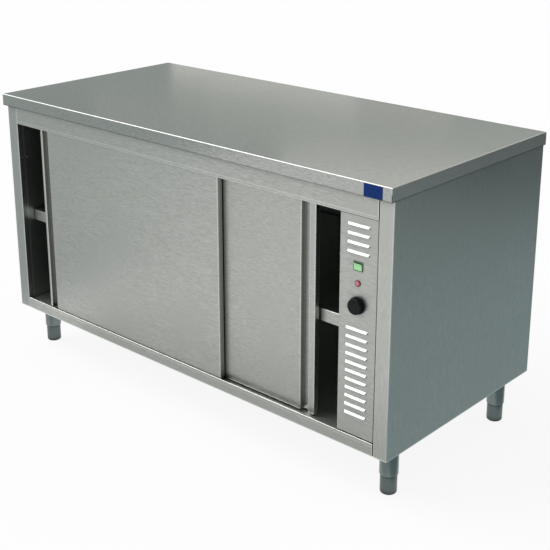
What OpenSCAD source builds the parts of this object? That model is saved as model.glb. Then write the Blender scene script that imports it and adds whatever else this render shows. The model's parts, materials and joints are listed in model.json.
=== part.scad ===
// Hot cupboard: folded steel carcass, two sliding doors, louvred control panel, screw feet.
// Millimetres. +Z is up, the front faces -Y, and the origin is on the floor under the middle.

/* [Overall] */
// Width of the worktop
width = 1500; // [1400:10:1800]
// Depth of the worktop, front to back
depth = 700; // [600:10:800]
// Height of the worktop above the floor
height = 850; // [800:5:950]
// Height of the body's underside above the floor
leg_clear = 140; // [120:1:170]

/* [Worktop] */
// Thickness of the worktop sheet
top_sheet = 1.5; // [1:0.1:2]
// Height of the turned-down edges
top_drop = 36; // [30:1:45]
// Inside radius of the worktop's folds
top_bend = 1.5; // [0.5:0.1:3]
// Overhang of the worktop past the front frame
front_overhang = 14; // [8:0.5:24]
// Overhang of the worktop past the back
rear_overhang = 6; // [4:0.5:20]
// Clearance between the turned-down edge and the side panels
skirt_gap = 0.5; // [0.2:0.1:0.9]
// Width of each channel under the worktop
stiffener_w = 60; // [40:1:100]
// Height of each channel under the worktop
stiffener_h = 25; // [15:1:30]
// Distance between the two channels, centre to centre
stiffener_pitch = 300; // [200:5:400]

/* [Carcass] */
// Thickness of the body sheet
sheet = 1.2; // [0.8:0.1:1.5]
// Inside radius of the body's folds
body_bend = 1.2; // [0.5:0.1:2.5]
// Face width of the stiles, and thickness of the left wall
stile_w = 43; // [38:1:55]
// Depth of the fold behind each stile
stile_return = 20; // [16:1:26]
// Width of the flanges at the top and bottom of the sides
side_flange = 12; // [8:1:25]
// Width of the fold at the back of the sides
rear_return = 20; // [14:1:30]
// Thickness of the insulated back
back_wall = 30; // [20:1:50]
// Thickness of the insulated base
base_wall = 25; // [20:1:30]
// Height of the fascia below the worktop's edge
fascia_h = 56; // [45:1:65]
// Width of the fascia's flange under the worktop
fascia_flange = 24; // [15:1:40]
// Height of the bottom rail
rail_h = 34; // [30:1:42]
// Width of the bottom rail's flange under the base
rail_flange = 40; // [20:1:60]
// Height of the folded-over hems
hem_h = 8; // [5:0.5:8]
// Height of the chamber's ceiling above the fascia's lower edge
ceiling_rise = 16; // [10:1:17]
// Air gap between the ceiling's insulation and the worktop's channels
wool_gap = 10; // [4:1:20]
// Seam between neighbouring panels
seam = 1.6; // [0.5:0.1:3]

/* [Doors] */
// Overlap of the doors when both are shut
door_overlap = 247; // [40:1:320]
// Thickness of each door
door_t = 16; // [14:0.5:20]
// Thickness of the door sheet
door_sheet = 1; // [0.8:0.1:1.2]
// Inside radius of the door's folds
door_bend = 1; // [0.5:0.1:1.5]
// Front door's face behind the front frame
door_setback = 4; // [3.2:0.1:7]
// Gap between the two doors
door_gap = 3; // [2:0.5:10]
// Clearance under the doors
door_floor_gap = 6; // [5:0.5:8]
// Overlap of the doors behind the fascia
door_lap = 18; // [12:1:18]
// How far the front door stands open
front_door_open = 108; // [0:1:400]
// How far the rear door stands open
rear_door_open = 87; // [0:1:400]
// Width of the front door's lip beside its grip
front_lip = 9; // [7:0.5:24]
// Width of the rear door's lip beside its grip
rear_lip = 21; // [7:0.5:24]
// Width of the grip channels
grip_w = 26; // [22:0.5:34]
// Depth of the grip channels
grip_depth = 13.5; // [9:0.5:14]
// Thickness of the rubber stops
bumper_t = 4; // [2:0.5:8]
// Radius of the rubber stops
bumper_r = 5; // [3:0.5:6]

/* [Track] */
// Thickness of the track sheet
track_t = 1.5; // [1:0.1:1.6]
// Height of the track's ledges above the doors
hang_clear = 9; // [6:0.5:10]
// Radius of the rollers
roller_r = 11; // [8:0.5:12]
// Radius of the rollers' axles
axle_r = 2.5; // [1.5:0.1:4]
// Play above the rollers
lift_gap = 3; // [2:0.1:4]
// Clearance between the rollers and the webs
web_gap = 1.8; // [1:0.1:2.4]
// Thickness of the hanger plates
hanger_t = 2; // [1.5:0.1:2.2]
// Length of the hanger plates
hanger_w = 50; // [30:1:80]
// Distance from a door's end to its roller
hanger_inset = 100; // [60:5:250]
// Thickness of the guide's fins
fin_t = 3; // [2:0.1:4]
// Length of the guide along the doors
guide_w = 40; // [20:1:80]
// Height of the guide's fins inside the doors
fin_rise = 9; // [5:0.5:10]
// Depth of the grooves under the doors
groove_h = 12; // [11:0.5:18]

/* [Shelf] */
// Height of the shelf above the chamber floor
shelf_rise = 302; // [245:1:450]
// Height of the shelf's folded edges
shelf_edge = 35; // [25:1:45]
// Width of the shelf's lower lips
shelf_lip = 12; // [8:1:20]
// Clearance at the shelf's ends
shelf_side_gap = 2; // [1:0.5:5]
// Clearance between the shelf and the rear door
shelf_front_gap = 5; // [4:0.5:20]
// Clearance between the shelf and the back
shelf_back_gap = 6; // [4:0.5:20]
// Width of the angles under the shelf
support_w = 20; // [12:1:30]

/* [Controls] */
// Width of the control panel
panel_w = 118; // [110:1:140]
// Control panel behind the front frame
panel_setback = 2; // [1:0.5:4]
// Depth of the folds at the panel's sides
panel_return = 22; // [20:0.5:30]
// Gap under the control panel
panel_gap = 3; // [2:0.5:5]
// Length of a louvre
louvre_w = 66; // [50:1:76]
// Height of a louvre
louvre_h = 5.5; // [5:0.5:12]
// How far a louvre stands out
louvre_out = 4.5; // [3:0.5:6]
// Distance between louvres
louvre_pitch = 23; // [16:0.5:30]
// Fascia to the top louvre of the upper group
upper_vent_drop = 21.5; // [10:0.5:40]
// Free stretch between the upper louvres and the switch
vent_gap = 12; // [8:1:30]
// Knob's edge to the top louvre of the lower group
lower_vent_gap = 39; // [20:1:60]
// Free stretch under the lower louvres
vent_margin = 40; // [20:1:80]
// Fascia to the middle of the switch
switch_drop = 128; // [70:1:140]
// Width of the switch's bezel
switch_w = 28; // [28:0.5:34]
// Height of the switch's bezel
switch_h = 23.5; // [23.5:0.5:28]
// Angle between the switch's on and off positions
rocker_travel = 14; // [8:1:16]
// Fascia to the middle of the lamp
lamp_drop = 172; // [165:1:182]
// Radius of the lamp's bezel
lamp_r = 8; // [7.5:0.1:10]
// Fascia to the middle of the knob
knob_drop = 229; // [224:1:240]
// Radius of the knob
knob_r = 22; // [15:0.5:30]
// Depth of the knob
knob_depth = 15; // [12:0.5:15]
// Radius of the thermostat's shaft
spindle_r = 3; // [2:0.1:3.5]
// Width of the name plate
plate_w = 54; // [30:1:80]
// Thickness of the name plate
plate_t = 0.8; // [0.5:0.1:1.5]
// Name plate's middle to the worktop's end
plate_inset = 54; // [45:1:120]

/* [Heating] */
// Height of the fan above the chamber floor
fan_rise = 135; // [120:1:150]
// Width of the hot-air casing
casing_w = 200; // [190:1:240]
// Height of the hot-air casing
casing_h = 430; // [400:5:450]
// Depth of the hot-air casing
casing_d = 62; // [58:1:70]
// Radius of the fan wheel
wheel_r = 58; // [40:1:62]
// Width of the fan wheel
wheel_w = 28; // [20:1:30]
// Number of fan blades
blades = 12; // [6:1:16]
// Radius of the fan's shaft
shaft_r = 4; // [3:0.1:6]
// Radius of the motor
motor_r = 36; // [25:1:45]
// Length of the motor
motor_l = 55; // [45:1:65]
// Radius of the heating ring, to the middle of its tube
ring_r = 76; // [72:1:84]
// Radius of the heating ring's tube
ring_tube_r = 4; // [3:0.1:5]

/* [Legs] */
// Radius of the leg tubes
leg_r = 25; // [20:0.5:27]
// Wall of the leg tubes
leg_wall = 1.5; // [1:0.1:3]
// Bolting plate to the side's bottom flange
leg_side_gap = 3.8; // [1:0.1:40]
// Bolting plate to the bottom rail's flange
leg_front_gap = 10; // [1:1:60]
// Bolting plate to the body's back
leg_rear_gap = 48; // [10:1:100]
// Side of the leg's square bolting plate
leg_plate = 68; // [66:1:90]
// Thickness of the leg's bolting plate
leg_plate_t = 3; // [2:0.5:5]
// Distance between the leg bolts
bolt_pitch = 52; // [48:0.5:56]
// Radius of the leg bolts
bolt_r = 2.5; // [1.5:0.1:3]
// Height of the foot below its tube
foot_h = 53; // [40:1:60]
// Radius of the foot
foot_r = 22.5; // [15:0.5:22.5]
// Rounding under the foot
foot_round = 6; // [2:0.5:10]
// Radius of the foot's threaded stem
stem_r = 8; // [5:0.5:10]
// Length of the stem above the foot
stem_h = 60; // [55:1:65]
// Length of the threaded plug in the tube
plug_h = 34; // [20:1:40]
// Length of the plug's sloping collar
collar_h = 3; // [2:0.5:5]

/* [Hidden] */
$fn = 48;

// Clearances and cutting allowance
cut = 1;
lay_gap = 0.2;
run_gap = 0.3;
shaft_fit = 0.05;
plug_fit = 0.1;
hole_fit = 0.2;

// Planes of the carcass
half_w = width / 2;
half_d = depth / 2;
body_x = half_w - top_sheet - skirt_gap;
edge_x = body_x - sheet - body_bend;
liner_x = body_x - stile_w;
panel_x = liner_x - panel_w;
front_y = -half_d + front_overhang;
rear_y = half_d - rear_overhang;
back_y = rear_y - back_wall;
sheet_y = rear_y - 2 * sheet;
deck_top = leg_clear + 2 * sheet;
floor_z = leg_clear + base_wall;
rail_top = leg_clear + rail_h;
drop_z = height - top_drop;
under_z = height - top_sheet;
fascia_z = drop_z - fascia_h;
ceiling_z = fascia_z + ceiling_rise;
wool_top = under_z - stiffener_h - wool_gap;

// Doors
front_door_y = front_y + door_setback;
rear_door_y = front_door_y + door_t + door_gap;
door_back_y = rear_door_y + door_t;
door_z = floor_z + door_floor_gap;
door_h = fascia_z + door_lap - door_z;
door_top = door_z + door_h;
opening_w = panel_x + liner_x - 2 * (bumper_t + run_gap);
door_w = (opening_w + door_overlap) / 2;
front_door_x = -liner_x + bumper_t + run_gap + front_door_open;
rear_door_x = panel_x - bumper_t - run_gap - rear_door_open;
fin_play = 0.5;
groove_w = fin_t + 2 * fin_play;
bumper_drop = 130;
bumper_z = door_top - bumper_drop;
guide_x = (panel_x - liner_x) / 2;
guide_gap = 1;
guide_base = door_floor_gap - guide_gap;

// Track and rollers
ledge_z = door_top + hang_clear;
ledge_top = ledge_z + track_t;
axle_z = ledge_top + run_gap + roller_r;
track_top = axle_z + roller_r + lift_gap;
front_web_y = front_y + sheet;
rear_web_y = door_back_y + web_gap;
ceiling_front = rear_web_y + track_t;
roller_side_gap = 0.5;
ledge_gap = 1.3;
function hanger_y(door_y) = door_y + (door_t - hanger_t) / 2;
roller_w = hanger_y(front_door_y) - roller_side_gap - web_gap - front_web_y - track_t;
function roller_y(door_y) = hanger_y(door_y) - roller_side_gap - roller_w;

// Shelf
shelf_y0 = door_back_y + shelf_front_gap;
shelf_y1 = back_y - shelf_back_gap;
shelf_z1 = floor_z + shelf_rise;
shelf_z0 = shelf_z1 - shelf_edge;
shelf_under = shelf_z1 - sheet;

// Controls
panel_y = front_y + panel_setback;
panel_z0 = rail_top + panel_gap;
panel_z1 = fascia_z - seam;
panel_mid = panel_x + panel_w / 2;
louvre_slant = sqrt(louvre_h * louvre_h + louvre_out * louvre_out) / louvre_h;
switch_z = fascia_z - switch_drop;
lamp_z = fascia_z - lamp_drop;
knob_z = fascia_z - knob_drop;
upper_vent_top = fascia_z - upper_vent_drop - louvre_h;
lower_vent_top = knob_z - knob_r - lower_vent_gap - louvre_h;
upper_vent_z = [for (z = [upper_vent_top : -louvre_pitch : switch_z + switch_h / 2 + vent_gap]) z];
lower_vent_z = [for (z = [lower_vent_top : -louvre_pitch : panel_z0 + vent_margin]) z];
vent_z = concat(upper_vent_z, lower_vent_z);
bezel_t = 2;
switch_rim = 0.8;
switch_wall = 1.4;
switch_depth = 26;
switch_body_w = switch_w - 2 * switch_rim;
switch_body_h = switch_h - 2 * switch_rim;
rocker_hole_w = switch_body_w - 2 * switch_wall;
rocker_hole_h = switch_body_h - 2 * switch_wall;
rocker_pocket = 9;
rocker_out = 3.8;
rocker_in = 3;
rocker_dip = 1.8;
rocker_w = rocker_hole_w - 2 * run_gap;
rocker_play = 0.9;
rocker_h = rocker_hole_h - 2 * rocker_play;
rocker_pin_r = 1.5;
rocker_pin_l = 0.8;
tab_w = 6;
tab_t = 0.8;
tab_l = 8;
tab_pitch = 16;
lamp_rim = 2.2;
lamp_flange = 2;
lamp_barrel_r = lamp_r - lamp_flange;
lamp_barrel_l = 24;
lamp_out = 4.5;
lens_seat = 0.8;
lens_r = lamp_r - lamp_rim - lay_gap;
lens_dome_r = 8.6;
thermostat_side = 36;
thermostat_depth = 26;
bush_wall = 2;
bush_r = spindle_r + bush_wall;
bush_room = 1;
bush_out = 3;
spindle_in = 12;
knob_gap = 0.7;
knob_y = panel_y - knob_gap;
knob_front = knob_y - knob_depth;
knob_skirt = 4;
knob_step = 2;
knob_face = 2;
knob_chamfer = 1.5;
flutes = 18;
flute_r = 2.2;
flute_out = 1.3;
pointer_l = 13;
pointer_w = 1.6;
pointer_deep = 0.8;

// Heating
fan_y = 0;
fan_z = floor_z + fan_rise;
casing_x = panel_x + sheet;
casing_wall_x = casing_x + casing_d;
casing_z = fan_z - casing_w / 2;
inlet_lap = 6;
inlet_r = wheel_r - inlet_lap;
outlet_w = 150;
outlet_h = 30;
outlet_drop = 20;
outlet_z = casing_z + casing_h - outlet_drop - outlet_h;
wheel_gap = 14;
wheel_x = casing_x + wheel_gap;
wheel_disc = 1.5;
blade_t = 1.2;
hub_wall = 6;
hub_r = shaft_r + hub_wall;
blade_gap = 14;
blade_in = hub_r + blade_gap;
motor_end = 10;
shaft_in = motor_l - motor_end;
shaft_room = 2;
shaft_hole_r = shaft_r + shaft_room;
ring_x = wheel_x + wheel_w / 2;
terminal_angle = 10;
collar_rim = 4;
collar_r = ring_tube_r + collar_rim;
collar_t = 2;
terminal_out = 18;
grille_border = 17;
grille_side = 2 * (inlet_r + grille_border);
grille_t = 1.5;
grille_slots = 9;
slot_h = 6;
gland_side = 34;
gland_x = panel_x + gland_side;
gland_inset = 60;
gland_y = back_y - gland_inset;
gland_r = 8;
gland_cap_r = 10;
gland_nut_r = 12;
gland_nut_t = 5;
gland_body_l = 18;
gland_bore_r = 5;
block_l = 70;
block_w = 24;
block_h = 22;
block_poles = 5;
block_gap = 80;
block_well_r = 3.5;

// Legs
leg_x = body_x - sheet - side_flange - leg_side_gap - leg_plate / 2;
leg_front_y = front_y + rail_flange + leg_front_gap + leg_plate / 2;
leg_rear_y = rear_y - leg_rear_gap - leg_plate / 2;
leg_top = leg_clear + sheet;
leg_plate_z = leg_top - leg_plate_t;
tube_z = foot_h + collar_h;
bolt_head_rim = 2;
bolt_head_r = bolt_r + bolt_head_rim;
bolt_head_t = 3;
nut_rim = 2.5;
nut_r = bolt_r + nut_rim;
nut_t = 4;
bolt_end = 1;
pocket_gap = 1.5;
pocket_r = nut_r + pocket_gap;
pocket_h = nut_t + bolt_end + pocket_gap;
neck_h = 2;
neck_in = 1;
screw_r = 1.8;
screw_head_r = 4;
screw_head_t = 1.6;
screw_l = 9;
screws_per_side = 5;
screw_end = 60;
screw_x = body_x - rear_return / 2;

// Finishes
steel = [0.72, 0.74, 0.72];
steel_dark = [0.50, 0.53, 0.53];
zinc = [0.75, 0.76, 0.78];
black = [0.06, 0.06, 0.06];
nylon = [0.88, 0.87, 0.82];
wool = [0.83, 0.77, 0.55];
rubber = [0.12, 0.12, 0.12];
green = [0.45, 0.80, 0.45];
red = [0.80, 0.25, 0.30];
blue = [0.10, 0.25, 0.60];

// Box between two corners
module block(lo, hi) {
  translate(lo) cube(hi - lo);
}

// Outline in Y and Z, drawn out along X
module along_x(x0, x1) {
  translate([x0, 0, 0]) rotate([90, 0, 90]) linear_extrude(x1 - x0) children();
}

// Outline in X and Z, drawn out along Y
module along_y(y0, y1) {
  translate([0, y1, 0]) rotate([90, 0, 0]) linear_extrude(y1 - y0) children();
}

// Cylinder along Y
module rod_y(x, z, y0, y1, r) {
  translate([x, y1, z]) rotate([90, 0, 0]) cylinder(h = y1 - y0, r = r);
}

// Cylinder along X
module rod_x(y, z, x0, x1, r) {
  translate([x0, y, z]) rotate([0, 90, 0]) cylinder(h = x1 - x0, r = r);
}

// Rectangle between two corners
module area(lo, hi) {
  translate(lo) square(hi - lo);
}

// Rectangle with all corners rounded
module round_area(lo, hi, r) {
  area([lo.x + r, lo.y], [hi.x - r, hi.y]);
  area([lo.x, lo.y + r], [hi.x, hi.y - r]);
  for (x = [lo.x + r, hi.x - r], y = [lo.y + r, hi.y - r]) {
    translate([x, y]) circle(r);
  }
}

// Rectangle with its two upper corners rounded
module round_top(lo, hi, r) {
  area(lo, [hi.x, hi.y - r]);
  area([lo.x + r, lo.y], [hi.x - r, hi.y]);
  for (x = [lo.x + r, hi.x - r]) {
    translate([x, hi.y - r]) circle(r);
  }
}

// Rectangle with its two lower corners rounded
module round_base(lo, hi, r) {
  area([lo.x, lo.y + r], hi);
  area([lo.x + r, lo.y], [hi.x - r, hi.y]);
  for (x = [lo.x + r, hi.x - r]) {
    translate([x, lo.y + r]) circle(r);
  }
}

// Worktop's outer block, or its hollow when inset by the sheet
module top_block(inset, bottom) {
  r = top_bend + top_sheet - inset;
  intersection() {
    along_x(-half_w + inset, half_w - inset)
      round_top([-half_d + inset, bottom], [half_d - inset, height - inset], r);
    along_y(-half_d + inset, half_d - inset)
      round_top([-half_w + inset, bottom], [half_w - inset, height - inset], r);
  }
}

// Folded worktop with a closing hem behind its front edge
module worktop() {
  color(steel) {
    difference() {
      top_block(0, drop_z);
      top_block(top_sheet, drop_z - cut);
    }
    block([-body_x, -half_d + top_sheet, drop_z], [body_x, front_y - lay_gap, drop_z + top_sheet]);
  }
}

// Two channels under the worktop
module worktop_stiffeners() {
  end_x = body_x - sheet - side_flange - seam;
  low_z = under_z - stiffener_h;
  color(zinc)
    for (y = [-stiffener_pitch / 2, stiffener_pitch / 2]) {
      difference() {
        block([-end_x, y - stiffener_w / 2, low_z], [end_x, y + stiffener_w / 2, under_z]);
        block([-end_x - cut, y - stiffener_w / 2 + sheet, low_z + sheet],
              [end_x + cut, y + stiffener_w / 2 - sheet, under_z + cut]);
      }
    }
}

// Plan outline of the right side panel with its stile and rear fold
module side_outline() {
  difference() {
    round_area([liner_x, front_y], [body_x, rear_y], body_bend + sheet);
    round_area([liner_x + sheet, front_y + sheet], [body_x - sheet, rear_y - sheet], body_bend);
    area([liner_x - cut, front_y + stile_return], [body_x - rear_return, rear_y + cut]);
  }
}

// Row of places along one side's rear fold
function screw_z(i) = leg_clear + screw_end
  + i * (under_z - leg_clear - 2 * screw_end) / (screws_per_side - 1);

// Rods at the right side's back screws, for screws, holes and pockets
module screw_rods(y0, y1, r) {
  for (i = [0 : screws_per_side - 1]) {
    rod_y(screw_x, screw_z(i), y0, y1, r);
  }
}

// Holes for the right side's back screws
module screw_holes() {
  screw_rods(sheet_y - cut, rear_y + cut, screw_r + hole_fit);
}

// Right side panel, whose top fold is rounded to clear the worktop's inner corner
module side_panel() {
  fold_r = top_bend + sheet;
  flange_x = body_x - sheet - side_flange;
  flange_y0 = front_y + stile_return;
  flange_y1 = sheet_y - lay_gap;
  difference() {
    intersection() {
      union() {
        translate([0, 0, leg_clear]) linear_extrude(under_z - leg_clear) side_outline();
        for (z = [leg_clear, under_z - sheet]) {
          block([flange_x, flange_y0, z], [body_x - sheet / 2, flange_y1, z + sheet]);
        }
        block([liner_x + sheet / 2, front_y + sheet / 2, leg_clear],
              [body_x - sheet / 2, flange_y0, leg_clear + sheet]);
        along_y(flange_y0, flange_y1) difference() {
          area([body_x - fold_r, under_z - fold_r], [body_x - sheet / 2, under_z - sheet / 2]);
          translate([body_x - fold_r, under_z - fold_r]) circle(top_bend);
        }
      }
      along_y(front_y - cut, rear_y + cut)
        round_top([liner_x - 2 * fold_r, leg_clear - cut], [body_x, under_z], fold_r);
    }
    screw_holes();
  }
}

module right_side() {
  color(steel_dark) side_panel();
}

module left_side() {
  color(steel_dark) mirror([1, 0, 0]) side_panel();
}

// Outer back sheet, held inside the side panels' rear folds
module back_panel() {
  color(steel)
    difference() {
      block([-edge_x, sheet_y, deck_top], [edge_x, sheet_y + sheet, under_z - sheet - lay_gap]);
      screw_holes();
      mirror([1, 0, 0]) screw_holes();
    }
}

// Bottom sheet, carried by the sides' and the rail's flanges
module base_deck() {
  color(steel)
    difference() {
      block([-edge_x, front_y + stile_return + lay_gap, leg_top], [edge_x, sheet_y + sheet, deck_top]);
      bolt_rods(leg_top - cut, deck_top + cut, bolt_r + hole_fit);
      translate([gland_x, gland_y, leg_top - cut]) cylinder(h = sheet + 2 * cut, r = gland_r + hole_fit);
    }
}

// Top front rail with a hemmed lower edge
module fascia() {
  color(steel)
    along_x(-liner_x + seam, liner_x - seam) {
      area([front_y, fascia_z + sheet], [front_y + sheet, under_z]);
      area([front_y, fascia_z + sheet], [front_y + 2 * sheet, fascia_z + hem_h]);
      translate([front_y + sheet, fascia_z + sheet]) circle(sheet);
      area([front_y, under_z - sheet], [front_y + fascia_flange, under_z]);
    }
}

// Bottom front rail with a hemmed lip and a flange under the base
module bottom_rail() {
  color(steel)
    along_x(-liner_x + seam, liner_x - seam) {
      area([front_y, leg_clear], [front_y + sheet, rail_top - sheet]);
      area([front_y, rail_top - hem_h], [front_y + 2 * sheet, rail_top - sheet]);
      translate([front_y + sheet, rail_top - sheet]) circle(sheet);
      area([front_y, leg_clear], [front_y + rail_flange, leg_clear + sheet]);
    }
}

// Inner skin of the left wall
module left_liner() {
  color(steel)
    block([-liner_x - sheet, front_y + stile_return + lay_gap, deck_top],
          [-liner_x, back_y + sheet, ceiling_z]);
}

// Inner skin of the back
module back_liner() {
  color(steel) block([-liner_x, back_y, deck_top], [panel_x, back_y + sheet, ceiling_z]);
}

// Chamber floor with its front fold down to the base
module floor_liner() {
  lip_y = front_y + stile_return + lay_gap;
  color(steel) {
    block([-liner_x, front_y + 2 * sheet + lay_gap, floor_z - sheet], [panel_x, back_y, floor_z]);
    block([-liner_x, lip_y, deck_top], [panel_x, lip_y + sheet, floor_z - sheet / 2]);
  }
}

// Chamber ceiling with its front fold up to the track
module ceiling_liner() {
  color(steel) {
    block([-liner_x - sheet, ceiling_front, ceiling_z], [panel_x + sheet, sheet_y, ceiling_z + sheet]);
    block([-liner_x + seam, ceiling_front, ceiling_z + sheet / 2],
          [panel_x - seam, ceiling_front + sheet, track_top]);
  }
}

// Wall between the heated chamber and the electrical compartment
module partition() {
  fold_y = panel_y + panel_return;
  fold_w = 15;
  color(steel)
    difference() {
      union() {
        block([panel_x, fold_y, deck_top], [panel_x + sheet, sheet_y, ceiling_z]);
        block([panel_x, fold_y, panel_z0], [panel_x + fold_w, fold_y + sheet, panel_z1]);
      }
      rod_x(fan_y, fan_z, panel_x - cut, panel_x + sheet + cut, inlet_r);
      block([panel_x - cut, fan_y - outlet_w / 2, outlet_z],
            [panel_x + sheet + cut, fan_y + outlet_w / 2, outlet_z + outlet_h]);
    }
}

// Mineral wool in the left wall, back, ceiling and base
module insulation_slabs() {
  wall_y = front_y + stile_return + lay_gap;
  base_y = wall_y + sheet + lay_gap;
  top_y = ceiling_front + sheet + lay_gap;
  color(wool)
    difference() {
      union() {
        block([-body_x + sheet + lay_gap, wall_y, deck_top], [-liner_x - sheet, sheet_y, ceiling_z]);
        block([-liner_x, back_y + sheet, deck_top], [panel_x, sheet_y, ceiling_z]);
        block([-liner_x, base_y, deck_top], [panel_x, back_y, floor_z - sheet]);
        block([-liner_x, top_y, ceiling_z + sheet], [panel_x, sheet_y, wool_top]);
      }
      bolt_rods(deck_top - cut, deck_top + pocket_h, pocket_r);
      mirror([1, 0, 0]) screw_rods(rear_y - screw_l - pocket_gap, rear_y, screw_r + pocket_gap);
    }
}

// Double top track: webs with inward ledges, hung from one plate
module door_track() {
  mid_web = roller_y(rear_door_y) - web_gap - track_t;
  color(zinc)
    along_x(-liner_x + seam, panel_x - seam) {
      area([front_web_y, track_top], [rear_web_y + track_t, track_top + track_t]);
      area([front_web_y, ledge_z], [front_web_y + track_t, track_top + track_t]);
      area([front_web_y, ledge_z], [hanger_y(front_door_y) - ledge_gap, ledge_top]);
      area([mid_web, ledge_z], [mid_web + track_t, track_top + track_t]);
      area([mid_web, ledge_z], [hanger_y(rear_door_y) - ledge_gap, ledge_top]);
      area([rear_web_y, ledge_z], [rear_web_y + track_t, track_top + track_t]);
    }
}

// Nylon guide whose two fins run in the doors' grooves
module door_guide() {
  lo_x = guide_x - guide_w / 2;
  hi_x = guide_x + guide_w / 2;
  color(nylon) {
    block([lo_x, front_door_y, floor_z], [hi_x, door_back_y, floor_z + guide_base]);
    for (y = [front_door_y, rear_door_y]) {
      block([lo_x, y + (door_t - fin_t) / 2, floor_z + guide_base / 2],
            [hi_x, y + (door_t + fin_t) / 2, door_z + fin_rise]);
    }
  }
}

// Rubber stops for both doors at both ends of the opening
module door_bumpers() {
  color(rubber)
    for (y = [front_door_y + door_t / 2, rear_door_y + door_t / 2]) {
      rod_x(y, bumper_z, -liner_x, -liner_x + bumper_t, bumper_r);
      rod_x(y, bumper_z, panel_x - bumper_t, y < rear_door_y ? panel_x + seam : panel_x, bumper_r);
    }
}

// Folded shelf, open underneath
module shelf() {
  color(steel)
    along_x(-liner_x + shelf_side_gap, panel_x - shelf_side_gap)
      difference() {
        round_area([shelf_y0, shelf_z0], [shelf_y1, shelf_z1], body_bend + sheet);
        round_area([shelf_y0 + sheet, shelf_z0 + sheet], [shelf_y1 - sheet, shelf_under], body_bend);
        area([shelf_y0 + shelf_lip, shelf_z0 - cut], [shelf_y1 - shelf_lip, shelf_z0 + 2 * sheet]);
      }
}

// Angles on the chamber walls that carry the shelf's ends
module shelf_supports() {
  end_gap = 2;
  y0 = shelf_y0 + shelf_lip + end_gap;
  y1 = shelf_y1 - shelf_lip - end_gap;
  leg_z = shelf_z0 + sheet;
  color(steel) {
    block([-liner_x, y0, leg_z], [-liner_x + sheet, y1, shelf_under]);
    block([-liner_x, y0, shelf_under - sheet], [-liner_x + support_w, y1, shelf_under]);
    block([panel_x - sheet, y0, leg_z], [panel_x, y1, shelf_under]);
    block([panel_x - support_w, y0, shelf_under - sheet], [panel_x, y1, shelf_under]);
  }
}

// Hood of one louvre: a sloping front with rounded ends, shrunk by wall
module louvre_hood(z, wall, low) {
  half_l = louvre_w / 2 - wall;
  lip_y = panel_y - louvre_out + wall * louvre_slant;
  back = wall > 0 ? panel_y + sheet + cut : panel_y + sheet;
  back_rise = (back - lip_y) * louvre_h / louvre_out;
  intersection() {
    along_x(panel_mid - louvre_w, panel_mid + louvre_w)
      polygon([[lip_y, z - low], [lip_y, z], [back, z + back_rise], [back, z - low]]);
    translate([panel_mid, 0, z - low])
      linear_extrude(louvre_h + low)
        round_base([-half_l, panel_y - louvre_out + wall], [half_l, back], louvre_out - wall);
  }
}

// Fixed front plate with pressed louvres and openings for the controls
module control_panel() {
  x0 = panel_x + seam;
  x1 = liner_x - seam;
  cut_w = switch_body_w / 2 + hole_fit;
  cut_h = switch_body_h / 2 + hole_fit;
  color(steel)
    difference() {
      union() {
        difference() {
          translate([0, 0, panel_z0]) linear_extrude(panel_z1 - panel_z0) difference() {
            round_base([x0, panel_y], [x1, panel_y + panel_return], body_bend + sheet);
            round_base([x0 + sheet, panel_y + sheet], [x1 - sheet, panel_y + panel_return + cut], body_bend);
          }
          for (z = vent_z) {
            louvre_hood(z, sheet, sheet);
          }
        }
        for (z = vent_z) {
          difference() {
            louvre_hood(z, 0, 0);
            louvre_hood(z, sheet, sheet);
          }
        }
      }
      block([panel_mid - cut_w, panel_y - cut, switch_z - cut_h],
            [panel_mid + cut_w, panel_y + sheet + cut, switch_z + cut_h]);
      rod_y(panel_mid, lamp_z, panel_y - cut, panel_y + sheet + cut, lamp_barrel_r + hole_fit);
      rod_y(panel_mid, knob_z, panel_y - cut, panel_y + sheet + cut, bush_r + hole_fit);
    }
}

// Switch housing with bezel, pocket for the rocker, pivot holes and terminal tabs
module switch_body() {
  y1 = panel_y + switch_depth;
  pin_x = rocker_hole_w / 2 + rocker_pin_l;
  color(black)
    difference() {
      union() {
        block([panel_mid - switch_w / 2, panel_y - bezel_t, switch_z - switch_h / 2],
              [panel_mid + switch_w / 2, panel_y, switch_z + switch_h / 2]);
        block([panel_mid - switch_body_w / 2, panel_y - bezel_t, switch_z - switch_body_h / 2],
              [panel_mid + switch_body_w / 2, y1, switch_z + switch_body_h / 2]);
        for (x = [-tab_pitch / 2, tab_pitch / 2]) {
          block([panel_mid + x - tab_t / 2, y1 - cut, switch_z - tab_w / 2],
                [panel_mid + x + tab_t / 2, y1 + tab_l, switch_z + tab_w / 2]);
        }
      }
      block([panel_mid - rocker_hole_w / 2, panel_y - bezel_t - cut, switch_z - rocker_hole_h / 2],
            [panel_mid + rocker_hole_w / 2, panel_y + rocker_pocket, switch_z + rocker_hole_h / 2]);
      rod_x(panel_y, switch_z, panel_mid - pin_x, panel_mid + pin_x, rocker_pin_r + shaft_fit);
    }
}

// Rocker paddle on its pivot pins, resting in its off position
module rocker() {
  h = rocker_h / 2;
  pin_x = rocker_hole_w / 2 + rocker_pin_l - run_gap;
  color(green)
    translate([panel_mid, panel_y, switch_z]) rotate([rocker_travel / 2, 0, 0]) {
      along_x(-rocker_w / 2, rocker_w / 2)
        polygon([
          [-rocker_out, h], [-rocker_out + rocker_dip, 0], [-rocker_out, -h],
          [rocker_in, -h / 2], [rocker_in, h / 2]
        ]);
      rod_x(0, 0, -pin_x, pin_x, rocker_pin_r);
    }
}

// Lamp barrel with its bezel ring
module lamp_body() {
  color(black)
    difference() {
      union() {
        rod_y(panel_mid, lamp_z, panel_y - bezel_t, panel_y, lamp_r);
        rod_y(panel_mid, lamp_z, panel_y - bezel_t, panel_y + lamp_barrel_l, lamp_barrel_r);
      }
      rod_y(panel_mid, lamp_z, panel_y - bezel_t - cut, panel_y - lens_seat, lens_r + lay_gap);
    }
}

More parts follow.
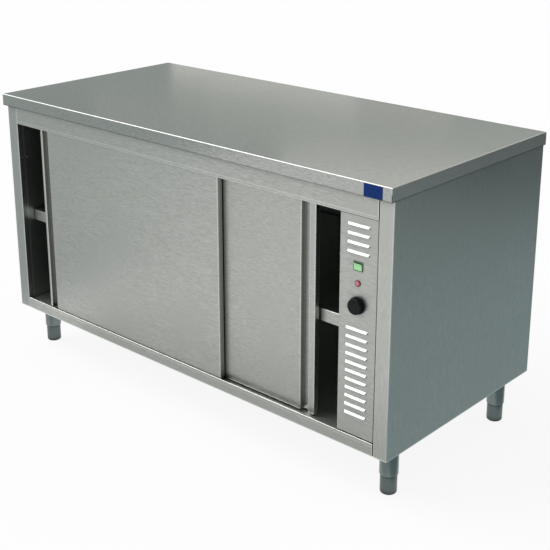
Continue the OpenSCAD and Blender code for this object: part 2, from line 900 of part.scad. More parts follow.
// Domed lens seated in the bezel ring
module lamp_lens() {
  color(red)
    intersection() {
      rod_y(panel_mid, lamp_z, panel_y - lamp_out - cut, panel_y - lens_seat, lens_r);
      translate([panel_mid, panel_y - lamp_out + lens_dome_r, lamp_z]) sphere(lens_dome_r);
    }
}

// Thermostat body with its threaded bush through the panel
module thermostat() {
  h = thermostat_side / 2;
  y0 = panel_y + sheet;
  color(nylon)
    difference() {
      union() {
        block([panel_mid - h, y0, knob_z - h], [panel_mid + h, y0 + thermostat_depth, knob_z + h]);
        rod_y(panel_mid, knob_z, panel_y - bush_out, y0 + cut, bush_r);
      }
      rod_y(panel_mid, knob_z, panel_y - bush_out - cut, y0 + spindle_in + cut, spindle_r + shaft_fit);
    }
}

// Spindle from the thermostat into the knob
module thermostat_shaft() {
  color(zinc) rod_y(panel_mid, knob_z, knob_front + 2 * knob_face, panel_y + sheet + spindle_in, spindle_r);
}

// Fluted knob with a skirt and a pointer groove
module knob() {
  grip_r = knob_r - knob_step;
  color(black)
    difference() {
      union() {
        rod_y(panel_mid, knob_z, knob_y - knob_skirt, knob_y, knob_r);
        rod_y(panel_mid, knob_z, knob_front + knob_chamfer, knob_y, grip_r);
        translate([panel_mid, knob_front + knob_chamfer, knob_z])
          rotate([90, 0, 0]) cylinder(h = knob_chamfer, r1 = grip_r, r2 = grip_r - knob_chamfer);
      }
      for (i = [0 : flutes - 1]) {
        translate([panel_mid, 0, knob_z]) rotate([0, (i + 0.5) * 360 / flutes, 0])
          rod_y(grip_r + flute_out, 0, knob_front - cut, knob_y - knob_skirt, flute_r);
      }
      rod_y(panel_mid, knob_z, knob_front + 2 * knob_face - run_gap, knob_y + cut, spindle_r + shaft_fit);
      rod_y(panel_mid, knob_z, knob_y - bush_out, knob_y + cut, bush_r + bush_room);
      block([panel_mid - pointer_w / 2, knob_front - cut, knob_z + grip_r - pointer_l],
            [panel_mid + pointer_w / 2, knob_front + pointer_deep, knob_z + knob_r]);
    }
}

// Bare plate on the worktop's front edge
module name_plate() {
  mid_x = half_w - plate_inset;
  r = top_bend + top_sheet;
  color(blue)
    block([mid_x - plate_w / 2, -half_d - plate_t, drop_z + cut], [mid_x + plate_w / 2, -half_d, height - r]);
}

// Hot-air box on the partition, open towards it
module fan_casing() {
  lo = [casing_x, fan_y - casing_w / 2, casing_z];
  hi = [casing_wall_x, fan_y + casing_w / 2, casing_z + casing_h];
  color(zinc)
    difference() {
      block(lo, hi);
      block([lo.x - cut, lo.y + sheet, lo.z + sheet], hi - [sheet, sheet, sheet]);
      rod_x(fan_y, fan_z, hi.x - 2 * sheet, hi.x + cut, shaft_hole_r);
      for (a = [-terminal_angle, terminal_angle]) {
        rod_x(fan_y + ring_r * sin(a), fan_z - ring_r * cos(a),
              hi.x - 2 * sheet, hi.x + cut, ring_tube_r + hole_fit);
      }
    }
}

// Slotted guard over the fan's inlet, on the chamber side
module fan_grille() {
  h = grille_side / 2;
  pitch = 2 * inlet_r / grille_slots;
  color(steel)
    difference() {
      block([panel_x - grille_t, fan_y - h, fan_z - h], [panel_x, fan_y + h, fan_z + h]);
      for (i = [0 : grille_slots - 1]) {
        z = fan_z + (i - (grille_slots - 1) / 2) * pitch;
        block([panel_x - grille_t - cut, fan_y - inlet_r, z - slot_h / 2],
              [panel_x + cut, fan_y + inlet_r, z + slot_h / 2]);
      }
    }
}

// Motor can on the casing's outer wall
module fan_motor() {
  boss_r = 12;
  boss_l = 6;
  x1 = casing_wall_x + motor_l;
  color(zinc)
    difference() {
      union() {
        rod_x(fan_y, fan_z, casing_wall_x, x1, motor_r);
        rod_x(fan_y, fan_z, x1 - cut, x1 + boss_l, boss_r);
      }
      rod_x(fan_y, fan_z, casing_wall_x - cut, casing_wall_x + shaft_in + cut, shaft_r + shaft_fit);
    }
}

// Radial fan wheel: back disc, hub, blades and front ring
module fan_wheel() {
  x1 = wheel_x + wheel_w;
  color(steel_dark)
    difference() {
      union() {
        rod_x(fan_y, fan_z, x1 - wheel_disc, x1, wheel_r);
        rod_x(fan_y, fan_z, wheel_x, x1, hub_r);
        for (i = [0 : blades - 1]) {
          translate([0, fan_y, fan_z]) rotate([i * 360 / blades, 0, 0])
            block([wheel_x, blade_in, -blade_t / 2], [x1 - wheel_disc / 2, wheel_r - blade_t, blade_t / 2]);
        }
        difference() {
          rod_x(fan_y, fan_z, wheel_x - wheel_disc, wheel_x + wheel_disc / 2, wheel_r);
          rod_x(fan_y, fan_z, wheel_x - wheel_disc - cut, wheel_x + wheel_disc + cut, blade_in + cut);
        }
      }
      rod_x(fan_y, fan_z, wheel_x - cut, x1 + cut, shaft_r + shaft_fit);
    }
}

// Shaft from the motor through the casing wall into the wheel
module fan_shaft() {
  color(zinc) rod_x(fan_y, fan_z, wheel_x, casing_wall_x + shaft_in, shaft_r);
}

// Heating ring round the wheel, with collared terminals through the casing wall
module ring_heater() {
  wall_x = casing_wall_x - sheet;
  color(steel_dark) {
    translate([ring_x, fan_y, fan_z]) rotate([0, 90, 0])
      rotate_extrude() translate([ring_r, 0]) circle(ring_tube_r);
    for (a = [-terminal_angle, terminal_angle]) {
      y = fan_y + ring_r * sin(a);
      z = fan_z - ring_r * cos(a);
      rod_x(y, z, ring_x, casing_wall_x + terminal_out, ring_tube_r);
      rod_x(y, z, wall_x - collar_t, wall_x, collar_r);
    }
  }
}

// Mains terminal block on the base, with one well for each wire
module terminal_block() {
  lo = [panel_mid - block_l / 2, gland_y - block_gap - block_w, deck_top];
  well = block_l / block_poles;
  color(black)
    difference() {
      block(lo, lo + [block_l, block_w, block_h]);
      for (i = [0 : block_poles - 1]) {
        translate([lo.x + (i + 0.5) * well, lo.y + block_w / 2, lo.z + block_h / 2])
          cylinder(h = block_h, r = block_well_r);
      }
    }
}

// Gland for the mains lead, through the base
module cable_gland() {
  low_z = leg_top - gland_body_l;
  gland_l = gland_body_l + sheet + 2 * gland_nut_t;
  cap_l = gland_body_l - gland_nut_t - lay_gap;
  color(black)
    translate([gland_x, gland_y, 0])
      difference() {
        union() {
          translate([0, 0, low_z]) cylinder(h = gland_l, r = gland_r);
          translate([0, 0, leg_top - gland_nut_t]) cylinder(h = gland_nut_t, r = gland_nut_r, $fn = 6);
          translate([0, 0, low_z]) cylinder(h = cap_l, r = gland_cap_r);
          translate([0, 0, deck_top]) cylinder(h = gland_nut_t, r = gland_nut_r, $fn = 6);
        }
        translate([0, 0, low_z - cut]) cylinder(h = gland_l + 2 * cut, r = gland_bore_r);
      }
}

// Children placed at each leg's axis
module each_leg() {
  for (x = [-leg_x, leg_x], y = [leg_front_y, leg_rear_y]) {
    translate([x, y, 0]) children();
  }
}

// Rods at every leg bolt, for bolts, holes and pockets
module bolt_rods(z0, z1, r) {
  h = bolt_pitch / 2;
  each_leg()
    for (x = [-h, h], y = [-h, h]) {
      translate([x, y, z0]) cylinder(h = z1 - z0, r = r);
    }
}

// Leg tubes welded to their bolting plates
module leg_tubes() {
  h = leg_plate / 2;
  color(steel_dark)
    difference() {
      each_leg() {
        difference() {
          union() {
            translate([0, 0, tube_z]) cylinder(h = leg_plate_z - tube_z, r = leg_r);
            block([-h, -h, leg_plate_z], [h, h, leg_top]);
          }
          translate([0, 0, tube_z - cut]) cylinder(h = leg_plate_z - tube_z + cut, r = leg_r - leg_wall);
        }
      }
      bolt_rods(leg_plate_z - cut, leg_top + cut, bolt_r + hole_fit);
    }
}

// Threaded plugs in the tubes' lower ends, with a sloping collar
module leg_plugs() {
  color(steel_dark)
    each_leg() difference() {
      union() {
        translate([0, 0, foot_h]) cylinder(h = collar_h + plug_h, r = leg_r - leg_wall - plug_fit);
        translate([0, 0, foot_h]) cylinder(h = collar_h, r1 = foot_r, r2 = leg_r);
      }
      translate([0, 0, foot_h - cut]) cylinder(h = collar_h + plug_h + 2 * cut, r = stem_r + shaft_fit);
    }
}

// Leg bolts with heads below and nuts above the base
module leg_bolts() {
  color(zinc) {
    bolt_rods(leg_plate_z - bolt_head_t, deck_top + nut_t + bolt_end, bolt_r);
    bolt_rods(leg_plate_z - bolt_head_t, leg_plate_z, bolt_head_r);
    bolt_rods(deck_top, deck_top + nut_t, nut_r);
  }
}

// Screws through the sides' rear folds into the back sheet
module back_screws() {
  color(zinc)
    for (side = [0, 1]) {
      mirror([side, 0, 0]) {
        screw_rods(rear_y, rear_y + screw_head_t, screw_head_r);
        screw_rods(rear_y - screw_l, rear_y + screw_head_t, screw_r);
      }
    }
}

// Foot with a rounded base, a neck and a threaded stem
module foot(x, y) {
  color(steel_dark)
    translate([x, y, 0]) {
      rotate_extrude() {
        area([0, 0], [foot_r - foot_round, foot_round]);
        translate([foot_r - foot_round, foot_round]) intersection() {
          circle(foot_round);
          area([0, -foot_round], [foot_round, 0]);
        }
        area([0, foot_round], [foot_r, foot_h - neck_h]);
        area([0, foot_h - neck_h], [foot_r - neck_in, foot_h]);
      }
      translate([0, 0, foot_h - cut]) cylinder(h = stem_h + cut, r = stem_r);
    }
}

module foot_front_left() {
  foot(-leg_x, leg_front_y);
}

module foot_front_right() {
  foot(leg_x, leg_front_y);
}

module foot_rear_left() {
  foot(-leg_x, leg_rear_y);
}

module foot_rear_right() {
  foot(leg_x, leg_rear_y);
}

// Groove under a door, for the guide's fin
module door_groove() {
  block([-cut, (door_t - groove_w) / 2, -cut], [door_w + cut, (door_t + groove_w) / 2, groove_h]);
}

// Door's outer tray, with its grip channel at the low-X end
module door_skin(lip) {
  r = door_bend + door_sheet;
  far = lip + grip_w;
  difference() {
    linear_extrude(door_h) {
      round_base([0, 0], [lip, door_t], r);
      round_base([far, 0], [door_w, door_t], r);
      area([lip - door_sheet, grip_depth], [far + door_sheet, door_t]);
    }
    translate([0, 0, door_sheet]) linear_extrude(door_h - 2 * door_sheet) {
      round_base([door_sheet, door_sheet], [lip - door_sheet, door_t + cut], door_bend);
      round_base([far + door_sheet, door_sheet], [door_w - door_sheet, door_t + cut], door_bend);
      area([door_sheet, grip_depth + door_sheet], [door_w - door_sheet, door_t + cut]);
    }
    door_groove();
  }
}

// Door's inner sheet, set into the tray
module door_back() {
  s = door_sheet + lay_gap;
  block([s, door_t - door_sheet, s], [door_w - s, door_t, door_h - s]);
}

// Door's insulating core, between the two sheets
module door_core(lip) {
  s = door_sheet + door_bend;
  difference() {
    block([lip + grip_w + s, door_sheet, s], [door_w - s, door_t - door_sheet, door_h - s]);
    door_groove();
  }
}

// Angle hangers with their axles, on the door's top edge
module door_hangers() {
  y = (door_t - hanger_t) / 2;
  foot_y = door_t - 2 * door_sheet;
  top = axle_z - door_z + 2 * axle_r;
  nut_l = 2.5;
  for (x = [hanger_inset, door_w - hanger_inset]) {
    block([x - hanger_w / 2, y, door_h], [x + hanger_w / 2, foot_y, door_h + hanger_t]);
    block([x - hanger_w / 2, y, door_h], [x + hanger_w / 2, y + hanger_t, top]);
    rod_y(x, axle_z - door_z, y - roller_side_gap - roller_w, y + hanger_t + nut_l, axle_r);
    rod_y(x, axle_z - door_z, y + hanger_t, y + hanger_t + nut_l, 2 * axle_r);
  }
}

// Front door's frame: grip at its left end
module front_door_place() {
  translate([front_door_x, front_door_y, door_z]) children();
}

// Rear door's frame: grip at its right end
module rear_door_place() {
  translate([rear_door_x, rear_door_y, door_z]) mirror([1, 0, 0]) children();
}

// Nylon roller at a place along X, crowned for the ledge
module roller(x, door_y) {
  y0 = roller_y(door_y);
  rim = 1;
  color(nylon)
    difference() {
      union() {
        rod_y(x, axle_z, y0, y0 + roller_w, roller_r - rim);
        rod_y(x, axle_z, y0 + rim, y0 + roller_w - rim, roller_r);
      }
      rod_y(x, axle_z, y0 - cut, y0 + roller_w + cut, axle_r + shaft_fit);
    }
}

module front_door_skin() {
  color(steel) front_door_place() door_skin(front_lip);
}

module front_door_back() {
  color(steel) front_door_place() door_back();
}

module front_door_core() {
  color(wool) front_door_place() door_core(front_lip);
}

module front_door_hangers() {
  color(zinc) front_door_place() door_hangers();
}

module front_door_roller_left() {
  roller(front_door_x + hanger_inset, front_door_y);
}

module front_door_roller_right() {
  roller(front_door_x + door_w - hanger_inset, front_door_y);
}

module rear_door_skin() {
  color(steel) rear_door_place() door_skin(rear_lip);
}

module rear_door_back() {
  color(steel) rear_door_place() door_back();
}

module rear_door_core() {
  color(wool) rear_door_place() door_core(rear_lip);
}

module rear_door_hangers() {
  color(zinc) rear_door_place() door_hangers();
}

module rear_door_roller_left() {
  roller(rear_door_x - door_w + hanger_inset, rear_door_y);
}

module rear_door_roller_right() {
  roller(rear_door_x - hanger_inset, rear_door_y);
}

worktop();
worktop_stiffeners();
left_side();
right_side();
back_panel();
base_deck();
fascia();
bottom_rail();
left_liner();
back_liner();
floor_liner();
ceiling_liner();
partition();
insulation_slabs();
door_track();
door_guide();
door_bumpers();
shelf();
shelf_supports();
leg_tubes();
leg_plugs();
leg_bolts();
back_screws();
control_panel();
switch_body();
lamp_body();
lamp_lens();
thermostat();
fan_casing();
fan_grille();
fan_motor();
ring_heater();
terminal_block();
cable_gland();
name_plate();
front_door_skin();
front_door_back();
front_door_core();
front_door_hangers();
front_door_roller_left();
front_door_roller_right();
rear_door_skin();
rear_door_back();
rear_door_core();
rear_door_hangers();
rear_door_roller_left();
rear_door_roller_right();
rocker();
knob();
thermostat_shaft();
fan_wheel();
fan_shaft();
foot_front_left();
foot_front_right();
foot_rear_left();
foot_rear_right();
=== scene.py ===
# %% [markdown]
# # A stainless hot cupboard
# A hot cupboard keeps plates and food warm behind two sliding doors. It is almost all folded stainless
# sheet, so its looks are a matter of steel, light and edges. The shapes come from a CAD frame that is
# loaded first. This lesson gives every piece its finish, adds the small detail that CAD leaves plain,
# and sets the camera and the studio.

# %% Load the frame
import json
import math

import bmesh
import bpy
from mathutils import Matrix, Vector
from mathutils import noise as lumps


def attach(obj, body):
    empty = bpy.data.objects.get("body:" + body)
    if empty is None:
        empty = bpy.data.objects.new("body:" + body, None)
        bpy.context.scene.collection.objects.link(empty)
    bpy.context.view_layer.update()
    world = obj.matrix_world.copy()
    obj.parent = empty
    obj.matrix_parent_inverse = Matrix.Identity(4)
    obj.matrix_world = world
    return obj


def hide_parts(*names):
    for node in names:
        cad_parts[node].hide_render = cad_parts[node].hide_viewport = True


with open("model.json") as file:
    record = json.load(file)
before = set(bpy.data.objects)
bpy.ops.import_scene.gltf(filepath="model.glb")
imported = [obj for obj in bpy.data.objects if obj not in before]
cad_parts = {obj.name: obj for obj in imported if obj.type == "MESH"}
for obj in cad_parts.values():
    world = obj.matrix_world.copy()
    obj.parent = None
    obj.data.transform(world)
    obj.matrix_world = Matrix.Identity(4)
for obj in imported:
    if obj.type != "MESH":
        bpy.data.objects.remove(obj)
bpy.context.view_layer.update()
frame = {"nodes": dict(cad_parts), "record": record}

# %% [markdown]
# ## The camera
# The photograph looks at the cupboard from the front right, from above its worktop. A camera could be
# placed by eye, but a long lens forgives little, so its place was fitted to the corners of the cabinet.
# The cupboard sits low in the photograph, and a small lens shift does the same here without tilting
# the upright lines much.

# %% Place the camera
CAMERA_PLACE = Vector((2.1674, -2.3188, 1.5921))
CAMERA_TARGET = Vector((-0.2614, 0.3758, 0.4607))
CAMERA_LENS = 73.14
CAMERA_SENSOR = 36.0
CAMERA_SHIFT = -0.15
CAMERA_FAR = 200.0

scene = bpy.context.scene
scene.view_settings.view_transform = "Standard"
camera_lens = bpy.data.cameras.new("photo_camera")
camera_lens.sensor_width = CAMERA_SENSOR
camera_lens.lens = CAMERA_LENS
camera_lens.shift_y = CAMERA_SHIFT
camera_lens.clip_end = CAMERA_FAR
camera = bpy.data.objects.new("photo_camera", camera_lens)
camera.location = CAMERA_PLACE
camera.rotation_euler = (CAMERA_TARGET - CAMERA_PLACE).to_track_quat("-Z", "Y").to_euler()
scene.collection.objects.link(camera)
scene.camera = camera
print("Camera at", tuple(round(c, 3) for c in camera.location), "lens", CAMERA_LENS, "mm")

# %% [markdown]
# ## The studio
# Steel shows whatever stands around it, so the studio is half of the finish. The room is a white floor
# under a white sky, which the camera and the reflections see at full white. The light itself is softer:
# a dim sky for the fill and one wide, low sun from the left for the key. A hard lamp would burn a stripe
# into every fold. The sun's place is chosen so that the rounded edges mirror it into the camera, which
# draws the thin white lines along the worktop, the rail and the louvres.

# %% Light the room
WHITE = (1.0, 1.0, 1.0, 1.0)
SKY_TINT = (0.96, 0.98, 1.0, 1.0)
SKY_WHITE = 1.0
SKY_FILL = 0.62
SUN_POWER = 1.75
SUN_SPREAD = math.radians(50.0)
SUN_FROM = Vector((-0.62, -0.40, 0.68))


def seen_rays(tree):
    """1 for rays from the camera, in reflections and through glass, and 0 for the light itself."""
    rays = tree.nodes.new("ShaderNodeLightPath")
    seen = rays.outputs["Is Camera Ray"]
    for label in ("Is Glossy Ray", "Is Transmission Ray"):
        either = tree.nodes.new("ShaderNodeMath")
        either.operation = "MAXIMUM"
        tree.links.new(seen, either.inputs[0])
        tree.links.new(rays.outputs[label], either.inputs[1])
        seen = either.outputs[0]
    return seen


world = bpy.data.worlds.new("white_room")
scene.world = world
world.use_nodes = True
sky = world.node_tree
sky.nodes.clear()
sky_out = sky.nodes.new("ShaderNodeOutputWorld")
sky_mix = sky.nodes.new("ShaderNodeMixShader")
sky_fill = sky.nodes.new("ShaderNodeBackground")
sky_fill.inputs["Color"].default_value = SKY_TINT
sky_fill.inputs["Strength"].default_value = SKY_FILL
sky_seen = sky.nodes.new("ShaderNodeBackground")
sky_seen.inputs["Color"].default_value = WHITE
sky_seen.inputs["Strength"].default_value = SKY_WHITE
sky.links.new(seen_rays(sky), sky_mix.inputs[0])
sky.links.new(sky_fill.outputs[0], sky_mix.inputs[1])
sky.links.new(sky_seen.outputs[0], sky_mix.inputs[2])
sky.links.new(sky_mix.outputs[0], sky_out.inputs["Surface"])

sun_lamp = bpy.data.lights.new("key_sun", "SUN")
sun_lamp.energy = SUN_POWER
sun_lamp.angle = SUN_SPREAD
sun = bpy.data.objects.new("key_sun", sun_lamp)
sun.rotation_euler = (-SUN_FROM).to_track_quat("-Z", "Y").to_euler()
scene.collection.objects.link(sun)
print("Sky fill", SKY_FILL, "sun", SUN_POWER)

# %% [markdown]
# ## The floor
# The photograph has a pure white ground. More light would burn out the steel, so the floor shines a
# little of its own white into the lens and into the reflections instead. The rest is plain paint, which
# keeps the faint shadow that ties the legs to the ground.

# %% Lay the floor
FLOOR_RADIUS = 60.0
FLOOR_SIDES = 96
FLOOR_PAINT = (0.93, 0.93, 0.93, 1.0)
FLOOR_WHITE = 0.88
FLOOR_ROUGH = 0.9


def stage_sheet(name, points, material):
    """A flat sheet of the studio, with its corners in metres, that isn't part of the object."""
    mesh = bpy.data.meshes.new(name)
    mesh.from_pydata(points, [], [range(len(points))])
    mesh.materials.append(material)
    sheet = bpy.data.objects.new(name, mesh)
    scene.collection.objects.link(sheet)
    return sheet


def shining(tree, color):
    """A surface that gives off a colour of its own."""
    glow = tree.nodes.new("ShaderNodeEmission")
    glow.inputs["Color"].default_value = color
    return glow.outputs[0]


floor_paint = bpy.data.materials.new("studio_floor_paint")
floor_paint.use_nodes = True
floor_tree = floor_paint.node_tree
floor_shader = floor_tree.nodes["Principled BSDF"]
floor_shader.inputs["Base Color"].default_value = FLOOR_PAINT
floor_shader.inputs["Roughness"].default_value = FLOOR_ROUGH
floor_shader.inputs["Specular IOR Level"].default_value = 0.0
floor_share = floor_tree.nodes.new("ShaderNodeMath")
floor_share.operation = "MULTIPLY"
floor_share.inputs[1].default_value = FLOOR_WHITE
floor_tree.links.new(seen_rays(floor_tree), floor_share.inputs[0])
floor_mix = floor_tree.nodes.new("ShaderNodeMixShader")
floor_tree.links.new(floor_share.outputs[0], floor_mix.inputs[0])
floor_tree.links.new(floor_shader.outputs[0], floor_mix.inputs[1])
floor_tree.links.new(shining(floor_tree, WHITE), floor_mix.inputs[2])
floor_tree.links.new(floor_mix.outputs[0], floor_tree.nodes["Material Output"].inputs["Surface"])
floor_rim = []
for side in range(FLOOR_SIDES):
    angle = math.tau * side / FLOOR_SIDES
    floor_rim.append((FLOOR_RADIUS * math.cos(angle), FLOOR_RADIUS * math.sin(angle), 0.0))
stage_sheet("studio_floor", floor_rim, floor_paint)
print("Floor radius", FLOOR_RADIUS, "m")

# %% [markdown]
# ## Flags and cards
# A photographer shapes steel with boards just outside the picture that the metal mirrors: dull flags
# where it should be darker and light cards where it should be brighter. Lamps could do some of this, but
# a lamp also lights everything else, and a board doesn't. The right side of this cupboard mirrors the
# ground on the right and a dark flag that stands behind it. The far end of the doors mirrors the ground
# at the front left. The worktop mirrors the low sky at the back left: flags make it grey there, and the
# cards in front of them draw the light band along its back edge and the sheen at its front right corner.
# Each board is hidden from everything but reflections, so it never stands in a picture.

# %% Stand the flags and cards
BOARD_HIDDEN_FROM = ("visible_camera", "visible_diffuse", "visible_transmission", "visible_shadow")


def lying(low, high, z=0.003):
    """Corners of a board that lies on the floor between two corners."""
    return [(low[0], low[1], z), (high[0], low[1], z), (high[0], high[1], z), (low[0], high[1], z)]


def standing(start, finish, low=0.2, high=4.0, far_high=None):
    """Corners of a board that stands between two points; far_high is its height at the second."""
    return [(*start, low), (*finish, low), (*finish, far_high or high), (*start, high)]


boards = {
    "near_side_flag": ((0.325, 0.415, 0.435), lying((0.79, -0.9), (1.75, 5.0))),
    "mid_side_flag": ((0.23, 0.305, 0.315), lying((1.75, -0.9), (4.5, 1.9))),
    "far_side_flag": ((0.03, 0.045, 0.05), lying((1.75, 1.9), (4.5, 6.0))),
    "back_side_flag": ((0.03, 0.045, 0.05), standing((4.6, 2.6), (1.3, 6.2), 0.0, 2.3)),
    "left_front_flag": ((0.53, 0.585, 0.58), lying((-7.0, -6.0), (-2.0, -0.6))),
    "low_left_flag": ((0.57, 0.615, 0.61), lying((-2.0, -1.4), (-1.0, -0.36))),
    "near_front_flag": ((0.66, 0.68, 0.67), lying((-0.7, -0.75), (0.85, -0.36))),
    "left_top_flag": ((0.40, 0.44, 0.425), standing((-4.4, 0.0), (-2.0, 1.754))),
    "right_top_flag": ((0.48, 0.515, 0.495), standing((-2.0, 1.754), (0.8, 3.8))),
    "mid_top_card": ((0.47, 0.50, 0.48), standing((-2.46, 1.36), (-1.97, 1.714), 1.40, 4.0)),
    "low_top_card": ((0.80, 0.80, 0.75), standing((-2.107, 1.614), (-1.32, 2.19), 0.2, 1.29, 1.42)),
    "low_right_card": ((0.59, 0.595, 0.565), standing((-1.32, 2.19), (-0.92, 2.48), 0.2, 1.42, 1.48)),
    "high_right_card": ((0.90, 0.90, 0.855), standing((-1.65, 1.95), (0.8, 3.74), 1.74, 4.0)),
}
for name, (tone, points) in boards.items():
    board_paint = bpy.data.materials.new(name + "_paint")
    board_paint.use_nodes = True
    board_paint.node_tree.links.new(
        shining(board_paint.node_tree, tone + (1.0,)),
        board_paint.node_tree.nodes["Material Output"].inputs["Surface"],
    )
    board = stage_sheet(name, points, board_paint)
    for ray_kind in BOARD_HIDDEN_FROM:
        setattr(board, ray_kind, False)
print("Flags and cards:", len(boards))

# %% [markdown]
# ## Effects that several finishes share
# Five effects come back in several finishes: brushed grain, handling marks, painted shade in corners,
# painted highlights on edges and the pebbled skin of plastic. Each could be built anew in every material,
# but as a node group with named sockets it is built once, and each finish only sets its own values.
# These helpers make a group and the few nodes that all groups need.

# %% Helpers for node groups
FLOAT = "NodeSocketFloat"
COLOR = "NodeSocketColor"
VECTOR = "NodeSocketVector"
MIX_AMOUNT, MIX_FIRST, MIX_SECOND, MIX_RESULT = 0, 6, 7, 2


def new_group(name, inputs, outputs):
    """A shader node group with named sockets; returns it with its input and output nodes."""
    group = bpy.data.node_groups.new(name, "ShaderNodeTree")
    for label, kind in inputs:
        group.interface.new_socket(label, in_out="INPUT", socket_type=kind)
    for label, kind in outputs:
        group.interface.new_socket(label, in_out="OUTPUT", socket_type=kind)
    return group, group.nodes.new("NodeGroupInput"), group.nodes.new("NodeGroupOutput")


def noise(tree, vector, scale, detail):
    """A noise texture that reads the given coordinates; returns its grey value."""
    node = tree.nodes.new("ShaderNodeTexNoise")
    node.inputs["Scale"].default_value = scale
    node.inputs["Detail"].default_value = detail
    tree.links.new(vector, node.inputs["Vector"])
    return node.outputs["Fac"]


def remap(tree, value, old, new):
    """Maps a value from one range to another; new may hold numbers or sockets."""
    node = tree.nodes.new("ShaderNodeMapRange")
    tree.links.new(value, node.inputs["Value"])
    node.inputs["From Min"].default_value, node.inputs["From Max"].default_value = old
    for label, end in zip(("To Min", "To Max"), new):
        if isinstance(end, (int, float)):
            node.inputs[label].default_value = end
        else:
            tree.links.new(end, node.inputs[label])
    return node.outputs["Result"]


def blend_colors(tree, amount, first, second):
    """Mixes two colour sockets by a value; the Mix node has its colour sockets at fixed places."""
    node = tree.nodes.new("ShaderNodeMix")
    node.data_type = "RGBA"
    tree.links.new(amount, node.inputs[MIX_AMOUNT])
    tree.links.new(first, node.inputs[MIX_FIRST])
    tree.links.new(second, node.inputs[MIX_SECOND])
    return node.outputs[MIX_RESULT]


def average(tree, first, second):
    """The middle of two values."""
    node = tree.nodes.new("ShaderNodeMath")
    node.operation = "MULTIPLY_ADD"
    tree.links.new(first, node.inputs[0])
    node.inputs[1].default_value = 0.5
    half = tree.nodes.new("ShaderNodeMath")
    half.operation = "MULTIPLY"
    tree.links.new(second, half.inputs[0])
    half.inputs[1].default_value = 0.5
    tree.links.new(half.outputs[0], node.inputs[2])
    return node.outputs[0]


print("Group helpers ready")

# %% [markdown]
# ## Brushed grain
# Brushed steel has long fine scratches in one direction. An image texture could hold them, but a noise
# that is stretched along the grain never runs out of detail and needs no unwrapping. Two noises are
# averaged, one fine and one broad, so that the scratches don't look all alike. The finer one also sets
# the gloss.

# %% Brushed grain
NOISE_LOW, NOISE_HIGH = 0.3, 0.7
FINE_SCALE, FINE_DETAIL = 1.0, 3.0
BROAD_SCALE, BROAD_DETAIL = 0.5, 2.0

brushed_grain, grain_in, grain_out = new_group(
    "Brushed grain",
    [("Vector", VECTOR), ("Dark", COLOR), ("Light", COLOR), ("Smooth", FLOAT), ("Rough", FLOAT)],
    [("Color", COLOR), ("Roughness", FLOAT), ("Height", FLOAT)],
)
fine = noise(brushed_grain, grain_in.outputs["Vector"], FINE_SCALE, FINE_DETAIL)
broad = noise(brushed_grain, grain_in.outputs["Vector"], BROAD_SCALE, BROAD_DETAIL)
streaks = remap(brushed_grain, average(brushed_grain, fine, broad), (NOISE_LOW, NOISE_HIGH), (0.0, 1.0))
brushed_grain.links.new(
    blend_colors(brushed_grain, streaks, grain_in.outputs["Dark"], grain_in.outputs["Light"]),
    grain_out.inputs["Color"],
)
grain_gloss = (grain_in.outputs["Rough"], grain_in.outputs["Smooth"])
brushed_grain.links.new(
    remap(brushed_grain, fine, (NOISE_LOW, NOISE_HIGH), grain_gloss),
    grain_out.inputs["Roughness"],
)
brushed_grain.links.new(fine, grain_out.inputs["Height"])
print("Group:", brushed_grain.name)

# %% [markdown]
# ## Handling marks
# Hands and cloths leave faint clouds on a steel sheet. They could be painted on, but a slow noise with
# a threshold gives every sheet its own. Where a mark lies, the steel is a little darker and duller.

# %% Handling marks
MARK_SCALE, MARK_DETAIL = 5.0, 5.0
MARK_LOW, MARK_HIGH = 0.48, 0.72

handling_marks, marks_in, marks_out = new_group(
    "Handling marks",
    [("Vector", VECTOR), ("Color", COLOR), ("Marked", COLOR), ("Roughness", FLOAT), ("Dulled", FLOAT)],
    [("Color", COLOR), ("Roughness", FLOAT)],
)
cloud = remap(
    handling_marks,
    noise(handling_marks, marks_in.outputs["Vector"], MARK_SCALE, MARK_DETAIL),
    (MARK_LOW, MARK_HIGH),
    (0.0, 1.0),
)
handling_marks.links.new(
    blend_colors(handling_marks, cloud, marks_in.outputs["Color"], marks_in.outputs["Marked"]),
    marks_out.inputs["Color"],
)
dulling = handling_marks.nodes.new("ShaderNodeMath")
dulling.operation = "MULTIPLY_ADD"
handling_marks.links.new(cloud, dulling.inputs[0])
handling_marks.links.new(marks_in.outputs["Dulled"], dulling.inputs[1])
handling_marks.links.new(marks_in.outputs["Roughness"], dulling.inputs[2])
handling_marks.links.new(dulling.outputs[0], marks_out.inputs["Roughness"])
print("Group:", handling_marks.name)

# %% [markdown]
# ## Shade in corners
# Where a corner or a slot shuts out the light, the steel is painted darker, as painted shade.
# The group takes a mask that is 1 in the open, and each steel says how dark its painted shade is.

# %% Shade in corners
CORNER_OPEN, CORNER_SHUT = 0.92, 0.25

corner_shade, shade_in, shade_out = new_group(
    "Corner grime",
    [("Open", FLOAT), ("Clean", COLOR), ("Grime", COLOR)],
    [("Color", COLOR)],
)
# The mask becomes painted shade: the colour goes darker where less light reaches.
shading_mask = remap(corner_shade, shade_in.outputs["Open"], (CORNER_SHUT, CORNER_OPEN), (0.0, 1.0))
corner_shade.links.new(
    blend_colors(corner_shade, shading_mask, shade_in.outputs["Grime"], shade_in.outputs["Clean"]),
    shade_out.inputs["Color"],
)
print("Group:", corner_shade.name)

# %% [markdown]
# ## Edge highlights
# Along an edge the steel is painted brighter, a painted highlight. The group takes a mask that is 1 on
# the flat sheet and falls off towards an edge, and blends in the brighter colour there.

# %% Edge highlights
EDGE_SHARP, EDGE_FLAT = 0.82, 0.99

